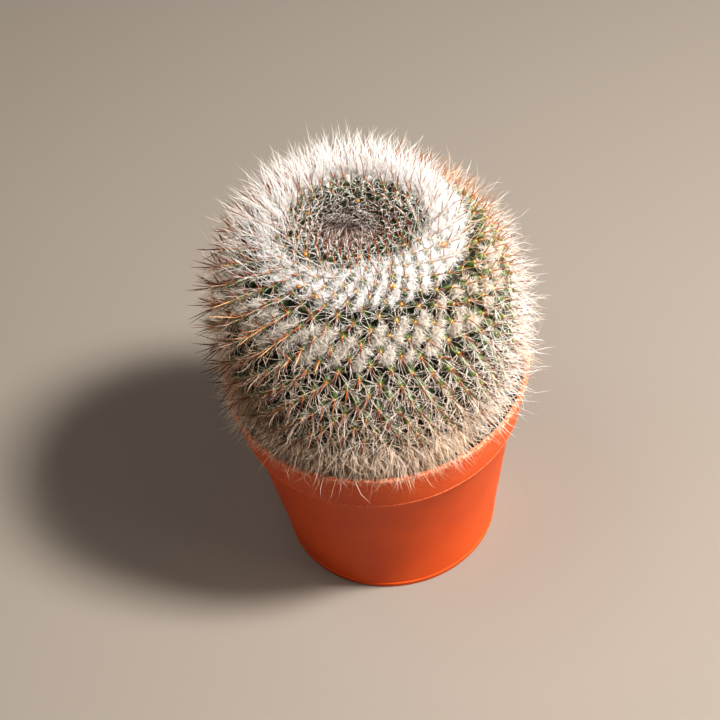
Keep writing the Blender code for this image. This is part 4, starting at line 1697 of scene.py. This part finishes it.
@dataclass
class PottingMix:
    """The mix that fills the pot round the plant's base, with loose crumbs on top."""

    pot: NurseryPot
    base: list[Pair]
    draw: np.random.Generator
    gap: float = 0.0003
    steps: int = 120
    rings: int = 7
    heave: float = 0.7 * MM
    heave_size: float = 3.2 * MM
    crumbs: int = 1500
    strewn: Pair = (-4.0 * MM, -0.8 * MM)
    crumb_rise: Pair = (-0.2, 0.5)
    crumb_size: Pair = (-0.45, 0.35)
    crumb_shape: Pair = (0.5, 1.3)
    largest: float = 1.5 * MM
    ball_radius: float = 0.75
    chip: float = 0.45
    chip_pace: float = 1.9

    def build(self) -> None:
        """Turn the bed, heave its top and strew the crumbs."""
        pot, gap, top = self.pot, self.gap, self.pot.mix_top
        wall = [(r + 1.5 * gap, z) for r, z in self.base]
        edge = float(pot.inside(top)) - gap
        bottom, floor_top, ledge = wall[-1][1] - gap, pot.floor_top + gap, pot.shelf + 2 * pot.wall
        profile = [(0.0, bottom), (wall[-1][0], bottom), *reversed(wall[:-1])]
        profile += [(r, top) for r in np.linspace(wall[0][0], edge, self.rings)]
        profile += [
            (pot.inside(ledge) - gap, ledge),
            (pot.inside(pot.shelf - MM) - gap, pot.shelf),
            (pot.inside(floor_top) - 4 * gap, floor_top),
            (0.0, floor_top),
        ]
        bed = turned(profile, self.steps)
        for v in bed.verts:
            if v.co.z > top - 0.1 * MM:
                v.co.z += self.heave * noise.fractal(v.co / self.heave_size, 1.0, 2.0, 3)
        mesh = to_mesh(bed, "bed")
        add_piece("potting_mix_bed", mesh, Finishes.MIX, ["potting_mix"])
        self.strew(wall[0][0] + self.strewn[0], edge + self.strewn[1])

    def strew(self, inner: float, outer: float) -> None:
        """Strew crumbs of bark and peat between two radii.

        Args:
            inner: the smaller radius.
            outer: the larger one.
        """
        draw, size = self.draw, self.crumbs
        r = np.sqrt(draw.uniform(inner**2, outer**2, size))
        turn = draw.uniform(0.0, math.tau, size)
        rise = self.pot.mix_top + draw.uniform(*self.crumb_rise, size) * MM
        places = np.stack([r * np.cos(turn), r * np.sin(turn), rise], axis=-1)
        scale = draw.lognormal(*self.crumb_size, (size, 1)) * MM
        scale = np.minimum(scale * draw.uniform(*self.crumb_shape, (size, 3)), self.largest)
        spin = np.linalg.qr(draw.normal(0.0, 1.0, (size, 3, 3)))[0]
        crumb = bmesh.new()
        bmesh.ops.create_icosphere(crumb, subdivisions=1, radius=self.ball_radius)
        for v in crumb.verts:
            v.co *= 1.0 + self.chip * noise.noise(v.co * self.chip_pace)
        mesh, _ = copies(crumb, spin * scale[:, None, :], places)
        add_piece("potting_mix_crumbs", mesh, Finishes.MIX, smooth=False)


@dataclass(frozen=True)
class Lamp:
    """A soft square light: the way to it from the object, its distance, side and power."""

    name: str
    way: tuple[float, float, float]
    distance: float
    size: float
    power: float
    colour: str


@dataclass
class Studio:
    """Camera at the photograph's viewing angle, soft light and a plain pale floor."""

    azimuth: float = 0.7271
    elevation: float = 47.4711
    distance: float = 0.6151
    target: tuple[float, float, float] = (-0.0053, 0.0, 0.0806)
    roll: float = 7.1306
    lens: float = 90.0
    sensor: float = 36.0
    lamps: tuple[Lamp, ...] = (
        Lamp("key", (0.58, -0.22, 0.92), 0.9, 0.14, 15.6, "#FFFDFA"),
        Lamp("top", (-0.42, -0.08, 1.00), 0.9, 0.50, 2.5, "#FFFDFA"),
        Lamp("fill", (0.92, -0.42, 0.24), 0.9, 0.40, 2.8, "#FFF0E0"),
    )
    sky_colour: str = "#F4E6D6"
    sky_strength: float = 0.09
    floor_reach: float = 2.0

    def camera(self) -> None:
        """Set the camera by its angles round the target, rolled about its own axis."""
        a, e = math.radians(self.azimuth), math.radians(self.elevation)
        back = Vector((math.sin(a) * math.cos(e), -math.cos(a) * math.cos(e), math.sin(e)))
        right = Vector((math.cos(a), math.sin(a), 0.0))
        turn = Matrix((right, back.cross(right), back)).transposed().to_4x4()
        data = bpy.data.cameras.new("camera")
        data.lens = self.lens
        data.sensor_width = self.sensor
        camera = link_new("camera", data)
        place = Matrix.Translation(Vector(self.target) + back * self.distance)
        camera.matrix_world = place @ turn @ Matrix.Rotation(math.radians(-self.roll), 4, "Z")
        bpy.context.scene.camera = camera

    def light(self) -> None:
        """Hang the soft lights and set the sky."""
        for lamp in self.lamps:
            data = bpy.data.lights.new(lamp.name, "AREA")
            data.size = lamp.size
            data.energy = lamp.power
            data.color = linear(lamp.colour)[:3]
            light = link_new(lamp.name, data)
            way = Vector(lamp.way).normalized()
            light.location = Vector(self.target) + way * lamp.distance
            light.rotation_mode = "QUATERNION"
            light.rotation_quaternion = way.to_track_quat("Z", "Y")
        world = bpy.data.worlds.new("sky")
        bpy.context.scene.world = world
        world.use_nodes = True
        sky = world.node_tree.nodes["Background"]
        sky.inputs["Color"].default_value = linear(self.sky_colour)
        sky.inputs["Strength"].default_value = self.sky_strength

    def floor(self) -> None:
        """Lay the floor."""
        form = bmesh.new()
        bmesh.ops.create_grid(form, x_segments=1, y_segments=1, size=self.floor_reach)
        mesh = to_mesh(form, "floor")
        mesh.materials.append(Finishes.FLOOR.value.material())
        link_new("floor", mesh)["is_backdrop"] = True

    def build(self) -> None:
        """Set up the whole studio."""
        self.camera()
        self.light()
        self.floor()
        view = bpy.context.scene.view_settings
        view.view_transform = "Standard"
        view.look = "Medium High Contrast"


def main() -> None:
    """Load the solids, take their box and build each sub-assembly round them."""
    logging.basicConfig(level=logging.INFO, format="%(message)s")
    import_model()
    solid_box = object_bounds()
    low, high = solid_box
    draw = np.random.default_rng(SEED)
    Studio().build()
    form = PlantForm()
    net = Net(form)
    body = PlantBody(net)
    pot = NurseryPot()
    pot.build()
    PottingMix(pot, body.base_profile(), draw).build()
    body.build()
    Areoles(form, draw).build()
    Spines(form, pot, low, high, draw).build()
    AxilWoolMat(net, draw, low, high).build()
    WitheredFlowers(form).build()


if __name__ == "__main__":
    main()
